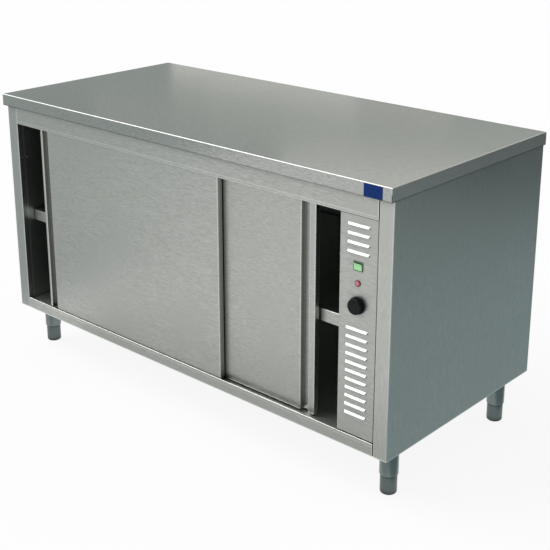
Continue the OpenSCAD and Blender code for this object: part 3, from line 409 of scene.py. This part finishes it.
edge_highlights, edge_in, edge_out = new_group(
    "Polished edges",
    [("Flat", FLOAT), ("Color", COLOR), ("Polished", COLOR)],
    [("Color", COLOR)],
)
# The mask becomes a painted highlight: the colour goes brighter towards an edge.
highlight_mask = remap(edge_highlights, edge_in.outputs["Flat"], (EDGE_SHARP, EDGE_FLAT), (1.0, 0.0))
edge_highlights.links.new(
    blend_colors(edge_highlights, highlight_mask, edge_in.outputs["Color"], edge_in.outputs["Polished"]),
    edge_out.inputs["Color"],
)
print("Group:", edge_highlights.name)

# %% [markdown]
# ## Moulded skin
# A plastic moulding has a fine pebbled skin, which the mould's spark-worn face leaves on it. It is far
# too small to model, so one noise gives its tone, its gloss and its relief.

# %% Moulded skin
PEBBLE_SCALE, PEBBLE_DETAIL = 1.0, 2.0

pebbled_skin, skin_in, skin_out = new_group(
    "Pebbled skin",
    [("Vector", VECTOR), ("Dark", COLOR), ("Light", COLOR), ("Smooth", FLOAT), ("Rough", FLOAT)],
    [("Color", COLOR), ("Roughness", FLOAT), ("Height", FLOAT)],
)
pebbles = noise(pebbled_skin, skin_in.outputs["Vector"], PEBBLE_SCALE, PEBBLE_DETAIL)
pebble_mask = remap(pebbled_skin, pebbles, (NOISE_LOW, NOISE_HIGH), (0.0, 1.0))
pebbled_skin.links.new(
    blend_colors(pebbled_skin, pebble_mask, skin_in.outputs["Dark"], skin_in.outputs["Light"]),
    skin_out.inputs["Color"],
)
skin_gloss = (skin_in.outputs["Smooth"], skin_in.outputs["Rough"])
pebbled_skin.links.new(
    remap(pebbled_skin, pebbles, (NOISE_LOW, NOISE_HIGH), skin_gloss),
    skin_out.inputs["Roughness"],
)
pebbled_skin.links.new(pebbles, skin_out.inputs["Height"])
print("Group:", pebbled_skin.name)

# %% [markdown]
# ## Tools for the finishes
# Every finish starts in the same way: a shader, coordinates that are stretched to the size of the grain,
# and groups that are placed and given their values. The coordinates could be the room's, but these belong
# to the object, so that the grain stays with a door when it slides.


# %% Helpers for finishes
def shade(color, factor):
    """A lighter or darker copy of a colour, with its alpha."""
    return tuple(min(1.0, c * factor) for c in color[:3]) + (1.0,)


def blank_finish(name):
    """A material with an empty Principled shader; returns it, its tree and the shader."""
    material = bpy.data.materials.new(name)
    material.use_nodes = True
    tree = material.node_tree
    return material, tree, tree.nodes["Principled BSDF"]


def stretched_place(tree, scale):
    """Object coordinates, plain and stretched to a number of grains per metre along each axis."""
    place = tree.nodes.new("ShaderNodeTexCoord")
    stretch = tree.nodes.new("ShaderNodeMapping")
    stretch.inputs["Scale"].default_value = scale
    tree.links.new(place.outputs["Object"], stretch.inputs["Vector"])
    return place.outputs["Object"], stretch.outputs["Vector"]


def put_group(tree, group, **values):
    """Places a node group and sets its inputs; a socket is linked, and anything else is a value."""
    node = tree.nodes.new("ShaderNodeGroup")
    node.node_tree = group
    for label, value in values.items():
        if isinstance(value, bpy.types.NodeSocket):
            tree.links.new(value, node.inputs[label])
        else:
            node.inputs[label].default_value = value
    return node


def bump_from(tree, shader, height, strength, distance):
    """Turns a height into a slight relief on the shader."""
    bump = tree.nodes.new("ShaderNodeBump")
    bump.inputs["Strength"].default_value = strength
    bump.inputs["Distance"].default_value = distance
    tree.links.new(height, bump.inputs["Height"])
    tree.links.new(bump.outputs["Normal"], shader.inputs["Normal"])


print("Finish helpers ready")

# %% [markdown]
# ## Corners, edges and ends
# Corners get painted shade, edges get a painted highlight, and an end fold is duller than the sheet. Such
# places could be painted by hand on each piece. Here the surface is asked instead: ambient occlusion finds
# the corners, a rounded normal that differs from the true one finds the edges, the normal alone finds the
# ends, and a height tells an upper edge from a lower one.

# %% Find corners, edges and ends
CORNER_SAMPLES = 8
EDGE_SAMPLES = 6
END_TURNED, END_SQUARE = 0.7, 0.95
LIP_SOFT = 0.004


def in_corners(tree, reach):
    """1 in the open and less in corners and slots, where the painted shade goes."""
    corners = tree.nodes.new("ShaderNodeAmbientOcclusion")
    corners.samples = CORNER_SAMPLES
    corners.inputs["Distance"].default_value = reach
    return corners.outputs["AO"]


def on_flats(tree, reach):
    """1 on the flat sheet and less along its edges, where the painted highlight goes."""
    rounded = tree.nodes.new("ShaderNodeBevel")
    rounded.samples = EDGE_SAMPLES
    rounded.inputs["Radius"].default_value = reach
    surface = tree.nodes.new("ShaderNodeNewGeometry")
    alike = tree.nodes.new("ShaderNodeVectorMath")
    alike.operation = "DOT_PRODUCT"
    tree.links.new(rounded.outputs["Normal"], alike.inputs[0])
    tree.links.new(surface.outputs["Normal"], alike.inputs[1])
    return alike.outputs["Value"]


def on_ends(tree):
    """1 on faces that look along X, such as the worktop's end folds, and 0 on all others."""
    surface = tree.nodes.new("ShaderNodeNewGeometry")
    parts = tree.nodes.new("ShaderNodeSeparateXYZ")
    tree.links.new(surface.outputs["Normal"], parts.inputs[0])
    either_way = tree.nodes.new("ShaderNodeMath")
    either_way.operation = "ABSOLUTE"
    tree.links.new(parts.outputs["X"], either_way.inputs[0])
    return remap(tree, either_way.outputs[0], (END_TURNED, END_SQUARE), (0.0, 1.0))


def above(tree, place, height):
    """1 above a height in metres and 0 below it."""
    parts = tree.nodes.new("ShaderNodeSeparateXYZ")
    tree.links.new(place, parts.inputs[0])
    return remap(tree, parts.outputs["Z"], (height - LIP_SOFT, height + LIP_SOFT), (0.0, 1.0))


print("Masks ready for corners, edges and ends")

# %% [markdown]
# ## The steels
# The cupboard is one kind of steel, but each sheet lies with its grain its own way, and the worktop is
# smoother than the rest. So each gets its own material from one recipe: brushed grain, handling marks, a
# painted highlight on the edges, painted shade in the corners, and a slight bump from the same grain. The
# base colours differ from sheet to sheet as lighter and darker copies of one steel: painted light and
# shade. The worktop's end folds are duller than its top, and along its lower lip the edges are painted
# dark, a painted shadow line, where its upper edge has a painted highlight.

# %% The recipe for a brushed steel
# Reach of the painted shade in corners, reach and brightness of the painted highlight on edges, and the tone
# of the painted shadow line under the worktop's lip.
CORNER_REACH = 0.025
EDGE_REACH = 0.0045
EDGE_HIGHLIGHT = 2.1
LIP_SHADE = 0.12
GRAIN_BUMP, GRAIN_DEPTH = 0.12, 0.0004


def brushed_steel(
    name, color, grain, gloss, contrast=0.07, marks=0.02, shading=0.35, edge_highlight=EDGE_HIGHLIGHT,
    dull_ends=0.0, lip=None,
):
    """Steel with its grain drawn out along one axis.

    gloss is its smoothest and roughest value, and lip the height in metres below which its edges
    are painted dark, as a painted shadow line, instead of with a painted highlight.
    """
    material, tree, shader = blank_finish(name)
    place, along = stretched_place(tree, grain)
    brushed = put_group(
        tree, brushed_grain, Vector=along, Dark=shade(color, 1 - contrast), Light=shade(color, 1 + contrast),
        Smooth=gloss[0], Rough=gloss[1],
    )
    handled = put_group(
        tree, handling_marks, Vector=place, Color=brushed.outputs["Color"], Marked=shade(color, 1 - marks),
        Roughness=brushed.outputs["Roughness"], Dulled=marks,
    )
    # Painted highlight: the edges take a brighter copy of the colour.
    edge = shade(color, edge_highlight)
    # Below the lip height the edge colour is painted dark: a painted shadow line under the worktop's drop.
    if lip:
        lipped = put_group(
            tree, corner_shade, Open=above(tree, place, lip), Clean=edge, Grime=shade(color, LIP_SHADE),
        )
        edge = lipped.outputs["Color"]
    highlit = put_group(
        tree, edge_highlights, Flat=on_flats(tree, EDGE_REACH), Color=handled.outputs["Color"], Polished=edge,
    )
    # Painted shade: ambient occlusion darkens the colour in corners and slots.
    shaded = put_group(
        tree, corner_shade, Open=in_corners(tree, CORNER_REACH), Clean=highlit.outputs["Color"],
        Grime=shade(color, shading),
    )
    tree.links.new(shaded.outputs["Color"], shader.inputs["Base Color"])
    roughness = handled.outputs["Roughness"]
    if dull_ends:
        dulled = tree.nodes.new("ShaderNodeMath")
        dulled.operation = "MULTIPLY_ADD"
        tree.links.new(on_ends(tree), dulled.inputs[0])
        dulled.inputs[1].default_value = dull_ends
        tree.links.new(roughness, dulled.inputs[2])
        roughness = dulled.outputs[0]
    tree.links.new(roughness, shader.inputs["Roughness"])
    shader.inputs["Metallic"].default_value = 1.0
    bump_from(tree, shader, brushed.outputs["Height"], GRAIN_BUMP, GRAIN_DEPTH)
    return material


print("Steel recipe ready")

# %% Mix the steels
GRAIN_X = (70.0, 600.0, 600.0)
GRAIN_Y = (600.0, 70.0, 600.0)
GRAIN_Z = (600.0, 600.0, 70.0)
GRAIN_ROUND = (12.0, 12.0, 900.0)
GRAIN_SPECKLED = (120.0, 120.0, 120.0)
FRONT_COLOR = (0.430, 0.440, 0.415)
SHEET_GLOSS, LEG_GLOSS = (0.28, 0.42), (0.24, 0.36)
# Tones of the painted shade in corners and of the painted highlight on edges; 1.0 means none.
NO_CORNER_SHADE, DEEP_CORNER_SHADE = 1.0, 0.05
NO_EDGE_HIGHLIGHT, TOP_EDGE_HIGHLIGHT = 1.0, 1.5
LIP_HEIGHT = 0.832

# The base colours below are lighter and darker copies of one steel: painted light and shade.
finishes = {
    "steel_top": brushed_steel(
        "worktop_steel", (0.410, 0.420, 0.400), GRAIN_X, (0.12, 0.20), contrast=0.20,
        edge_highlight=TOP_EDGE_HIGHLIGHT, dull_ends=0.29, lip=LIP_HEIGHT,
    ),
    "steel_front": brushed_steel("front_steel", FRONT_COLOR, GRAIN_X, SHEET_GLOSS, contrast=0.18),
    "steel_side": brushed_steel(
        "side_steel", (0.460, 0.468, 0.440), GRAIN_Z, SHEET_GLOSS, contrast=0.12, shading=DEEP_CORNER_SHADE,
    ),
    "steel_back": brushed_steel("back_steel", (0.380, 0.390, 0.375), GRAIN_X, (0.32, 0.46)),
    "steel_liner": brushed_steel("liner_steel", (0.385, 0.418, 0.400), GRAIN_X, (0.30, 0.45)),
    # The legs take a much darker copy of the steel: painted shade.
    "steel_leg": brushed_steel(
        "leg_steel", (0.180, 0.212, 0.210), GRAIN_ROUND, LEG_GLOSS, shading=DEEP_CORNER_SHADE,
        edge_highlight=NO_EDGE_HIGHLIGHT,
    ),
    "zinc": brushed_steel(
        "zinc_plate", (0.420, 0.430, 0.440), GRAIN_SPECKLED, (0.30, 0.50), contrast=0.10,
    ),
    "wheel_alloy": brushed_steel("wheel_alloy", (0.500, 0.510, 0.520), GRAIN_Y, (0.30, 0.45)),
    "heater_sheath": brushed_steel(
        "heater_sheath", (0.100, 0.090, 0.085), GRAIN_X, (0.45, 0.65), contrast=0.2, marks=0.15,
    ),
}
print("Steels for slots:", len(finishes))

# %% [markdown]
# ## Steels for single pieces
# A few sheets mirror something else than their neighbours in the same slot do, and each gets a steel of
# its own. The inner floor is a much lighter copy with no painted shade in its corners: painted light. The
# left side and the feet are darker copies: painted shade. The control panel has finer folds, so its edges
# get no painted highlight, and its corners a darker painted shade.

# %% Mix the steels for single pieces
special_finish = {
    # A much lighter copy with no painted shade in its corners: painted light.
    "floor_liner": brushed_steel(
        "floor_steel", (0.66, 0.69, 0.65), GRAIN_X, (0.38, 0.50), shading=NO_CORNER_SHADE,
    ),
    # A darker copy: painted shade.
    "left_side": brushed_steel(
        "left_steel", (0.400, 0.418, 0.400), GRAIN_Z, SHEET_GLOSS, contrast=0.12, shading=DEEP_CORNER_SHADE,
    ),
    "control_panel": brushed_steel(
        "panel_steel", FRONT_COLOR, GRAIN_X, SHEET_GLOSS, contrast=0.18, shading=DEEP_CORNER_SHADE,
        edge_highlight=NO_EDGE_HIGHLIGHT,
    ),
}
# A darker copy still for the feet: painted shade.
foot_steel = brushed_steel(
    "foot_steel", (0.116, 0.141, 0.139), GRAIN_ROUND, LEG_GLOSS, shading=DEEP_CORNER_SHADE, edge_highlight=NO_EDGE_HIGHLIGHT,
)
for name in frame["nodes"]:
    if name.startswith("foot_"):
        special_finish[name] = foot_steel
print("Pieces with a steel of their own:", len(special_finish))

# %% [markdown]
# ## Plastics, rubber and wool
# The switch, the lamp, the knob and the gland are moulded plastic with a faint pebbled skin. The rocker
# and the lamp's lens could be see-through, but from a step away a tint under a thin clear coat looks the
# same, and it stays free of noise. The insulation is never seen in use, but it still gets its matted
# fibre.

# %% The recipe for a moulded plastic
PEBBLE_BUMP, PEBBLE_DEPTH = 0.15, 0.0002


def moulded(name, color, gloss, pebble=1400.0, contrast=0.10, coat=0.0, shine=0.5):
    """Plastic with a fine pebbled skin; pebble is the number of pebbles per metre."""
    material, tree, shader = blank_finish(name)
    _, pebbly = stretched_place(tree, (pebble, pebble, pebble))
    moulding = put_group(
        tree, pebbled_skin, Vector=pebbly, Dark=shade(color, 1 - contrast), Light=shade(color, 1 + contrast),
        Smooth=gloss[0], Rough=gloss[1],
    )
    tree.links.new(moulding.outputs["Color"], shader.inputs["Base Color"])
    tree.links.new(moulding.outputs["Roughness"], shader.inputs["Roughness"])
    shader.inputs["Coat Weight"].default_value = coat
    shader.inputs["Specular IOR Level"].default_value = shine
    bump_from(tree, shader, moulding.outputs["Height"], PEBBLE_BUMP, PEBBLE_DEPTH)
    return material


print("Plastic recipe ready")

# %% Mix the plastics
finishes["nylon"] = moulded("guide_nylon", (0.80, 0.79, 0.74), (0.40, 0.55))
finishes["stop_rubber"] = moulded("stop_rubber", (0.030, 0.030, 0.030), (0.70, 0.85), pebble=900.0)
finishes["black_plastic"] = moulded("black_plastic", (0.006, 0.008, 0.008), (0.38, 0.50), shine=0.12)
finishes["green_plastic"] = moulded(
    "rocker_green", (0.380, 0.700, 0.350), (0.18, 0.28), coat=0.2, shine=0.3,
)
finishes["red_lens"] = moulded("lens_red", (0.580, 0.160, 0.190), (0.10, 0.18), coat=0.3)
finishes["blue_plate"] = moulded("plate_blue", (0.002, 0.026, 0.140), (0.25, 0.35), shine=0.12)
finishes["mineral_wool"] = moulded(
    "mineral_wool", (0.55, 0.45, 0.22), (0.85, 0.95), pebble=260.0, contrast=0.35, shine=0.1,
)
special_finish["lamp_body"] = moulded(
    "lamp_ring_red", (0.220, 0.028, 0.050), (0.25, 0.35), coat=0.2, shine=0.3,
)
special_finish["switch_body"] = moulded(
    "switch_frame_green", (0.110, 0.200, 0.110), (0.25, 0.35), shine=0.3,
)
print("Finishes for slots:", len(finishes), "and for single pieces:", len(special_finish))

# %% [markdown]
# ## Dressing the frame
# The record gives every CAD node a material slot, so a node's finish is found by its slot, and a piece
# with a finish of its own is found by its name. The finish could go on the mesh or on the object; here
# it takes the places that the frame's objects already have.

# %% Dress every CAD node
slot_of = {row["node"]: row["material_slot"] for row in frame["record"]["subparts"]}
for name, node in frame["nodes"].items():
    finish = special_finish.get(name, finishes[slot_of[name]])
    if not node.material_slots:
        node.data.materials.append(finish)
    for place in node.material_slots:
        place.material = finish
print("Dressed", len(frame["nodes"]), "nodes")

# %% [markdown]
# ## Tools for the small pieces
# Screws, bolts, feet and the gland are turned on a lathe or moulded round, so one helper joins rings of
# points into a skin and the rest is a matter of which rings. A lathe piece has round rings, a nut has
# six-sided ones, and a thread has rings whose radius runs up and down as it winds. All sizes are in
# millimetres, as on a drawing, and a matrix brings them to metres and to their place.

# %% Helpers for turned pieces
MM = 0.001
SHARP_EDGE = math.radians(35.0)
THREAD_LEAD = 1.3


def at(x, y, z, turn=None):
    """The matrix that brings a shape drawn in mm to its place, after an optional turn."""
    place = Matrix.Translation((x * MM, y * MM, z * MM))
    return (place @ turn if turn else place) @ Matrix.Scale(MM, 4)


def skin(shape, rings, place, hollow=False):
    """Joins rings of points into a closed skin; a hollow one runs back through its own bore."""
    loops = [[shape.verts.new(place @ Vector(point)) for point in row] for row in rings]
    count = len(loops[0])
    pairs = list(zip(loops, loops[1:]))
    if hollow:
        pairs.append((loops[-1], loops[0]))
    else:
        shape.faces.new(loops[0])
        shape.faces.new(loops[-1])
    for low, high in pairs:
        for side in range(count):
            after = (side + 1) % count
            shape.faces.new((low[side], low[after], high[after], high[side]))


def ring(radius, height, sides):
    """One round ring of points; radius is a number or a function of the angle."""
    points = []
    for side in range(sides):
        angle = math.tau * side / sides
        reach = radius(angle) if callable(radius) else radius
        points.append((reach * math.cos(angle), reach * math.sin(angle), height))
    return points


def thread_rings(radius, depth, pitch, low, high, sides, steps=6):
    """Rings of a screw thread between two heights; its last turn is cut deeper, as a lead."""
    rings = []
    count = round((high - low) / pitch * steps)
    for index in range(count + 1):
        height = low + (high - low) * index / count
        cut = depth if index < count - steps else depth * THREAD_LEAD

        def reach(angle, height=height, cut=cut):
            phase = (height / pitch - angle / math.tau) % 1.0
            return radius - cut * abs(2.0 * phase - 1.0)

        rings.append(ring(reach, height, sides))
    return rings


def hexagon_rings(radius, low, high, chamfer):
    """Rings of a hexagon head or nut with its corners taken off at both ends."""
    cut = radius - chamfer
    profile = ((cut, low), (radius, low + chamfer), (radius, high - chamfer), (cut, high))
    return [ring(reach, height, 6) for reach, height in profile]


def as_piece(name, shape, body, slot_name, *stands_for):
    """Makes a piece of a shape: it rides on a body, takes a finish and stands for CAD nodes."""
    bmesh.ops.recalc_face_normals(shape, faces=shape.faces)
    mesh = bpy.data.meshes.new(name)
    shape.to_mesh(mesh)
    shape.free()
    for face in mesh.polygons:
        face.use_smooth = True
    mesh.set_sharp_from_angle(angle=SHARP_EDGE)
    special = [special_finish[node] for node in stands_for if node in special_finish]
    mesh.materials.append(special[0] if special else finishes[slot_name])
    piece = bpy.data.objects.new(name, mesh)
    scene.collection.objects.link(piece)
    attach(piece, body)
    if stands_for:
        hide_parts(*stands_for)
    print(name, "has", len(mesh.vertices), "points and rides on", body)


print("Turning helpers ready")

# %% [markdown]
# ## The screw feet
# Each leg ends in a foot on a threaded stem, which is screwed in or out until the cupboard stands level.
# In the photograph the stems are hidden in the tubes, but they show when a foot is let down. A thread
# could be a screw modifier; here it is a stack of rings, because then the foot and its stem are one skin.

# %% Turn the feet
FOOT_R, FOOT_H, FOOT_ROUND, FOOT_EDGE = 22.5, 53.0, 6.0, 0.4
NECK_IN, NECK_H = 1.0, 2.0
STEM_R, STEM_TOP, STEM_RELIEF = 8.0, 113.0, 0.2
THREAD_PITCH, THREAD_DEPTH = 2.0, 0.7
ROUND_STEPS = 8
FOOT_SIDES = 48
LEG_X, LEG_Y = 697.0, {"front": -252.0, "rear": 262.0}

foot_rings = []
for step in range(ROUND_STEPS + 1):
    angle = math.pi / 2 * step / ROUND_STEPS
    reach = FOOT_R - FOOT_ROUND + FOOT_ROUND * math.sin(angle)
    foot_rings.append(ring(reach, FOOT_ROUND * (1.0 - math.cos(angle)), FOOT_SIDES))
for reach, height in (
    (FOOT_R, FOOT_H - NECK_H - FOOT_EDGE),
    (FOOT_R - FOOT_EDGE, FOOT_H - NECK_H),
    (FOOT_R - NECK_IN, FOOT_H - NECK_H),
    (FOOT_R - NECK_IN, FOOT_H),
    (STEM_R, FOOT_H),
):
    foot_rings.append(ring(reach, height, FOOT_SIDES))
foot_rings += thread_rings(
    STEM_R, THREAD_DEPTH, THREAD_PITCH, FOOT_H + STEM_RELIEF, STEM_TOP, FOOT_SIDES,
)
for end, y in LEG_Y.items():
    for side, x in (("left", -LEG_X), ("right", LEG_X)):
        name = "foot_%s_%s" % (end, side)
        shape = bmesh.new()
        skin(shape, foot_rings, at(x, y, 0.0))
        as_piece("screw_" + name, shape, name, "steel_leg", name)

# %% [markdown]
# ## The legs' bolts
# A leg is a tube welded to a square plate, and four bolts hold the plate to the base. The bolts have
# hexagon heads below and nuts above. They could be copies of one bolt, but as one mesh they replace the
# CAD's bolts with a single piece, and each still stops at its own angle.

# %% Bolt the legs
BOLT_PITCH, BOLT_R, BOLT_SIDES = 26.0, 2.5, 16
BOLT_THREAD_DEPTH, BOLT_THREAD_PITCH = 0.3, 0.8
HEX_CHAMFER = 0.5
HEAD_R, HEAD_LOW, HEAD_HIGH = 4.5, 135.2, 138.2
NUT_R, NUT_LOW, NUT_HIGH, BOLT_TOP = 5.0, 142.4, 146.4, 147.4
shape = bmesh.new()
for leg_y in LEG_Y.values():
    for leg_x in (-LEG_X, LEG_X):
        for x in (leg_x - BOLT_PITCH, leg_x + BOLT_PITCH):
            for y in (leg_y - BOLT_PITCH, leg_y + BOLT_PITCH):
                own_angle = x + y
                spot = at(x, y, 0.0, Matrix.Rotation(own_angle, 4, "Z"))
                skin(shape, hexagon_rings(HEAD_R, HEAD_LOW, HEAD_HIGH, HEX_CHAMFER), spot)
                skin(shape, hexagon_rings(NUT_R, NUT_LOW, NUT_HIGH, HEX_CHAMFER), spot)
                thread = thread_rings(
                    BOLT_R, BOLT_THREAD_DEPTH, BOLT_THREAD_PITCH, HEAD_HIGH, BOLT_TOP, BOLT_SIDES,
                )
                skin(shape, thread, spot)
as_piece("hexagon_leg_bolts", shape, "cabinet", "zinc", "leg_bolts")

# %% [markdown]
# ## The legs' welds
# The weld between a tube and its plate is a bead that was laid by hand, so it ripples and its width
# wanders a little as it goes round. A curve with a round section would be too even. This one is a ring
# of sections whose size rises and falls.

# %% Weld the legs
TUBE_R, TUBE_TOP = 25.0, 138.2
BEAD_R, BEAD_IN, BEAD_SIDES, BEAD_STEPS = 1.7, 0.2, 10, 120
RIPPLE, RIPPLES = 0.12, 40
WANDER, WANDERS = 0.08, 3.0
shape = bmesh.new()
for leg_y in LEG_Y.values():
    for leg_x in (-LEG_X, LEG_X):
        bead = []
        for step in range(BEAD_STEPS):
            angle = math.tau * step / BEAD_STEPS
            ripple = RIPPLE * math.sin(angle * RIPPLES)
            swell = BEAD_R * (1.0 + ripple + WANDER * math.sin(WANDERS * angle))
            section = []
            for side in range(BEAD_SIDES):
                lean = math.tau * side / BEAD_SIDES
                reach = TUBE_R + BEAD_IN + swell * math.cos(lean)
                height = min(TUBE_TOP, TUBE_TOP - BEAD_IN + swell * math.sin(lean))
                section.append((reach * math.cos(angle), reach * math.sin(angle), height))
            bead.append(section)
        skin(shape, bead, at(leg_x, leg_y, 0.0), hollow=True)
as_piece("leg_welds", shape, "cabinet", "steel_leg")

# %% [markdown]
# ## The back's screws
# The back sheet comes off for repairs, so it is held by screws with cross recesses. The head is a grid
# of rings whose points drop where the cross is, which gives a real recess without cutting one solid out
# of another.

# %% Drive the back's screws
SCREW_X, SCREW_LOW, SCREW_STEP, SCREW_COUNT = 738.0, 200.0, 147.125, 5
BACK_Y, SHANK_Y = 344.0, 335.0
SCREW_HEAD_R, SCREW_HEAD_T, SCREW_EDGE, SCREW_SIDES = 4.0, 1.6, 0.5, 64
SCREW_TURN = 0.7
SHANK_R, SHANK_SIDES, SHANK_THREAD_DEPTH, SHANK_THREAD_PITCH = 1.8, 16, 0.3, 1.2
CROSS_HALF, CROSS_LONG, CROSS_DEEP = 0.45, 2.3, 1.0
CROSS_WALL, CROSS_END = 0.2, 0.3
HEAD_REACH = (4.0, 3.8, 3.5, 3.1, 2.7, 2.4, 2.2, 1.9, 1.6, 1.3, 1.0, 0.75, 0.5, 0.3, 0.12)


def share(value):
    """A value held between 0 and 1."""
    return min(1.0, max(0.0, value))


def head_point(reach, angle):
    """A point on the domed head, dropped where the cross recess is."""
    x, y = reach * math.cos(angle), reach * math.sin(angle)
    rise = math.sqrt(max(0.0, 1.0 - (reach / SCREW_HEAD_R) ** 2))
    dome = SCREW_EDGE + (SCREW_HEAD_T - SCREW_EDGE) * rise
    across, along = sorted((abs(x), abs(y)))
    inside = share((CROSS_HALF - across) / CROSS_WALL + 0.5) * share((CROSS_LONG - along) / CROSS_END)
    return (x, y, dome - CROSS_DEEP * inside)


head_rings = [ring(SCREW_HEAD_R, 0.0, SCREW_SIDES)]
for reach in HEAD_REACH:
    head_rings.append(
        [head_point(reach, math.tau * side / SCREW_SIDES) for side in range(SCREW_SIDES)]
    )
shank_rings = thread_rings(
    SHANK_R, SHANK_THREAD_DEPTH, SHANK_THREAD_PITCH, SHANK_Y - BACK_Y, 0.0, SHANK_SIDES,
)
outward = Matrix.Rotation(-math.pi / 2, 4, "X")
shape = bmesh.new()
for x in (-SCREW_X, SCREW_X):
    for index in range(SCREW_COUNT):
        z = SCREW_LOW + SCREW_STEP * index
        spin = Matrix.Rotation(SCREW_TURN * index + x, 4, "Z")
        skin(shape, head_rings, at(x, BACK_Y, z, outward @ spin))
        skin(shape, shank_rings, at(x, BACK_Y, z, outward))
as_piece("cross_back_screws", shape, "cabinet", "zinc", "back_screws")

# %% [markdown]
# ## The cable gland
# The mains lead enters from below through a gland, whose cap is ribbed so that a hand can tighten it.
# The photograph shows no lead, so the gland stands empty. Its ribs are a radius that rises and falls
# round the cap, and its two nuts hold the base sheet between them.

# %% Mould the gland
GLAND_X, GLAND_Y = 621.0, 254.0
GLAND_BORE, GLAND_BODY, GLAND_CAP, GLAND_NUT = 5.0, 8.0, 10.0, 12.0
GLAND_LOW, CAP_TOP, GLAND_TOP = 123.2, 136.0, 147.4
GLAND_NUTS = ((136.2, 141.2), (142.4, 147.4))
GLAND_SIDES, CAP_RIBS, RIB_DEEP = 96, 16, 0.8
CAP_MOUTH_IN, CAP_EDGE_IN = 1.6, 0.9
CAP_EDGE_UP, CAP_RIBS_UP, CAP_RIBS_DOWN = 1.2, 2.4, 0.8


def ribbed(angle):
    """The cap's outer radius, with a rib for each sixteenth of a turn."""
    return GLAND_CAP - RIB_DEEP * (0.5 - 0.5 * math.cos(CAP_RIBS * angle)) ** 2


def six_sided(angle):
    """The radius of a hexagon at an angle."""
    sector = math.pi / 3.0
    return GLAND_NUT * math.cos(sector / 2.0) / math.cos(angle % sector - sector / 2.0)


gland_loops = [
    [(GLAND_BORE, GLAND_LOW), (GLAND_BODY, GLAND_LOW), (GLAND_BODY, GLAND_TOP), (GLAND_BORE, GLAND_TOP)],
    [
        (GLAND_BODY, GLAND_LOW),
        (GLAND_CAP - CAP_MOUTH_IN, GLAND_LOW),
        (GLAND_CAP - CAP_EDGE_IN, GLAND_LOW + CAP_EDGE_UP),
        (ribbed, GLAND_LOW + CAP_RIBS_UP),
        (ribbed, CAP_TOP - CAP_RIBS_DOWN),
        (GLAND_CAP - CAP_EDGE_IN, CAP_TOP),
        (GLAND_BODY, CAP_TOP),
    ],
]
for low, high in GLAND_NUTS:
    gland_loops.append([(GLAND_BODY, low), (six_sided, low), (six_sided, high), (GLAND_BODY, high)])
shape = bmesh.new()
for loop in gland_loops:
    rings = [ring(reach, height, GLAND_SIDES) for reach, height in loop]
    skin(shape, rings, at(GLAND_X, GLAND_Y, 0.0), hollow=True)
as_piece("ribbed_gland", shape, "cabinet", "black_plastic", "cable_gland")

# %% [markdown]
# ## The wool
# Behind every hot wall lies a slab of mineral wool. It is a mat of fibre with no flat face on it, so the
# plain CAD blocks are replaced by batts: boxes with a fine grid of points, each pushed in by a lumpy
# noise. The points only ever move inwards, so a batt never swells through the sheet around it.

# %% The recipe for a batt
LUMP_DEEP, LUMP_SHARE = 3.0, 0.08
LUMP_SCALE, LUMP_SHIFT = 38.0, 7.0
GRID_STEP = 28.0
GROOVE_TOP, GROOVE_WALL = 184.0, 0.1


def spread(low, high, extra=()):
    """Positions from low to high at about the grid's step, with extra ones put in."""
    count = max(3, round((high - low) / GRID_STEP))
    return sorted([low + (high - low) * index / count for index in range(count + 1)] + list(extra))


def add_batt(shape, low, high, groove=None):
    """Adds one batt between two corners in mm; groove is the run in Y that the door's guide needs."""
    extra = ()
    if groove:
        extra = (groove[0], groove[0] + GROOVE_WALL, groove[1] - GROOVE_WALL, groove[1])
    grids = [spread(low[0], high[0]), spread(low[1], high[1], extra), spread(low[2], high[2])]
    ends = [len(grid) - 1 for grid in grids]
    points = {}

    def point(i, j, k):
        key = (i, j, k)
        if key not in points:
            place = Vector(grid[index] for grid, index in zip(grids, key))
            if groove and k == 0 and groove[0] < place.y < groove[1]:
                place.z = GROOVE_TOP
            for axis, (index, end) in enumerate(zip(key, ends)):
                thick = min(LUMP_DEEP, (high[axis] - low[axis]) * LUMP_SHARE)
                spot = place / LUMP_SCALE + Vector((axis * LUMP_SHIFT, 0.0, 0.0))
                lump = thick * (0.5 + 0.5 * lumps.noise(spot))
                place[axis] += lump if index == 0 else -lump if index == end else 0.0
            points[key] = shape.verts.new(place * MM)
        return points[key]

    for axis in range(3):
        across, along = (axis + 1) % 3, (axis + 2) % 3
        for fixed in (0, ends[axis]):
            for a in range(ends[across]):
                for b in range(ends[along]):
                    corners = []
                    for da, db in ((0, 0), (1, 0), (1, 1), (0, 1)):
                        key = [0, 0, 0]
                        key[axis], key[across], key[along] = fixed, a + da, b + db
                        corners.append(point(*key))
                    shape.faces.new(corners)


print("Batt recipe ready")

# %% Lay the wool
GROOVE_FROM, GROOVE_TO = 4.8, 9.2
cabinet_batts = {
    "left wall": ((-746.6, -315.8, 142.4), (-706.2, 341.6, 774.0)),
    "back": ((-705.0, 315.2, 142.4), (587.0, 341.6, 774.0)),
    "base": ((-705.0, -314.4, 142.4), (587.0, 314.0, 163.8)),
    "ceiling": ((-705.0, -292.3, 775.2), (587.0, 341.6, 813.5)),
}
door_batts = {
    "front_door": ((-555.7, -331.0, 173.0), (170.5, -317.0, 774.0)),
    "rear_door": ((-267.5, -312.0, 173.0), (446.7, -298.0, 774.0)),
}

shape = bmesh.new()
for low, high in cabinet_batts.values():
    add_batt(shape, low, high)
as_piece("wool_batts", shape, "cabinet", "mineral_wool", "insulation_slabs")
for door, (low, high) in door_batts.items():
    shape = bmesh.new()
    add_batt(shape, low, high, (low[1] + GROOVE_FROM, low[1] + GROOVE_TO))
    as_piece(door + "_wool", shape, door, "mineral_wool", door + "_core")
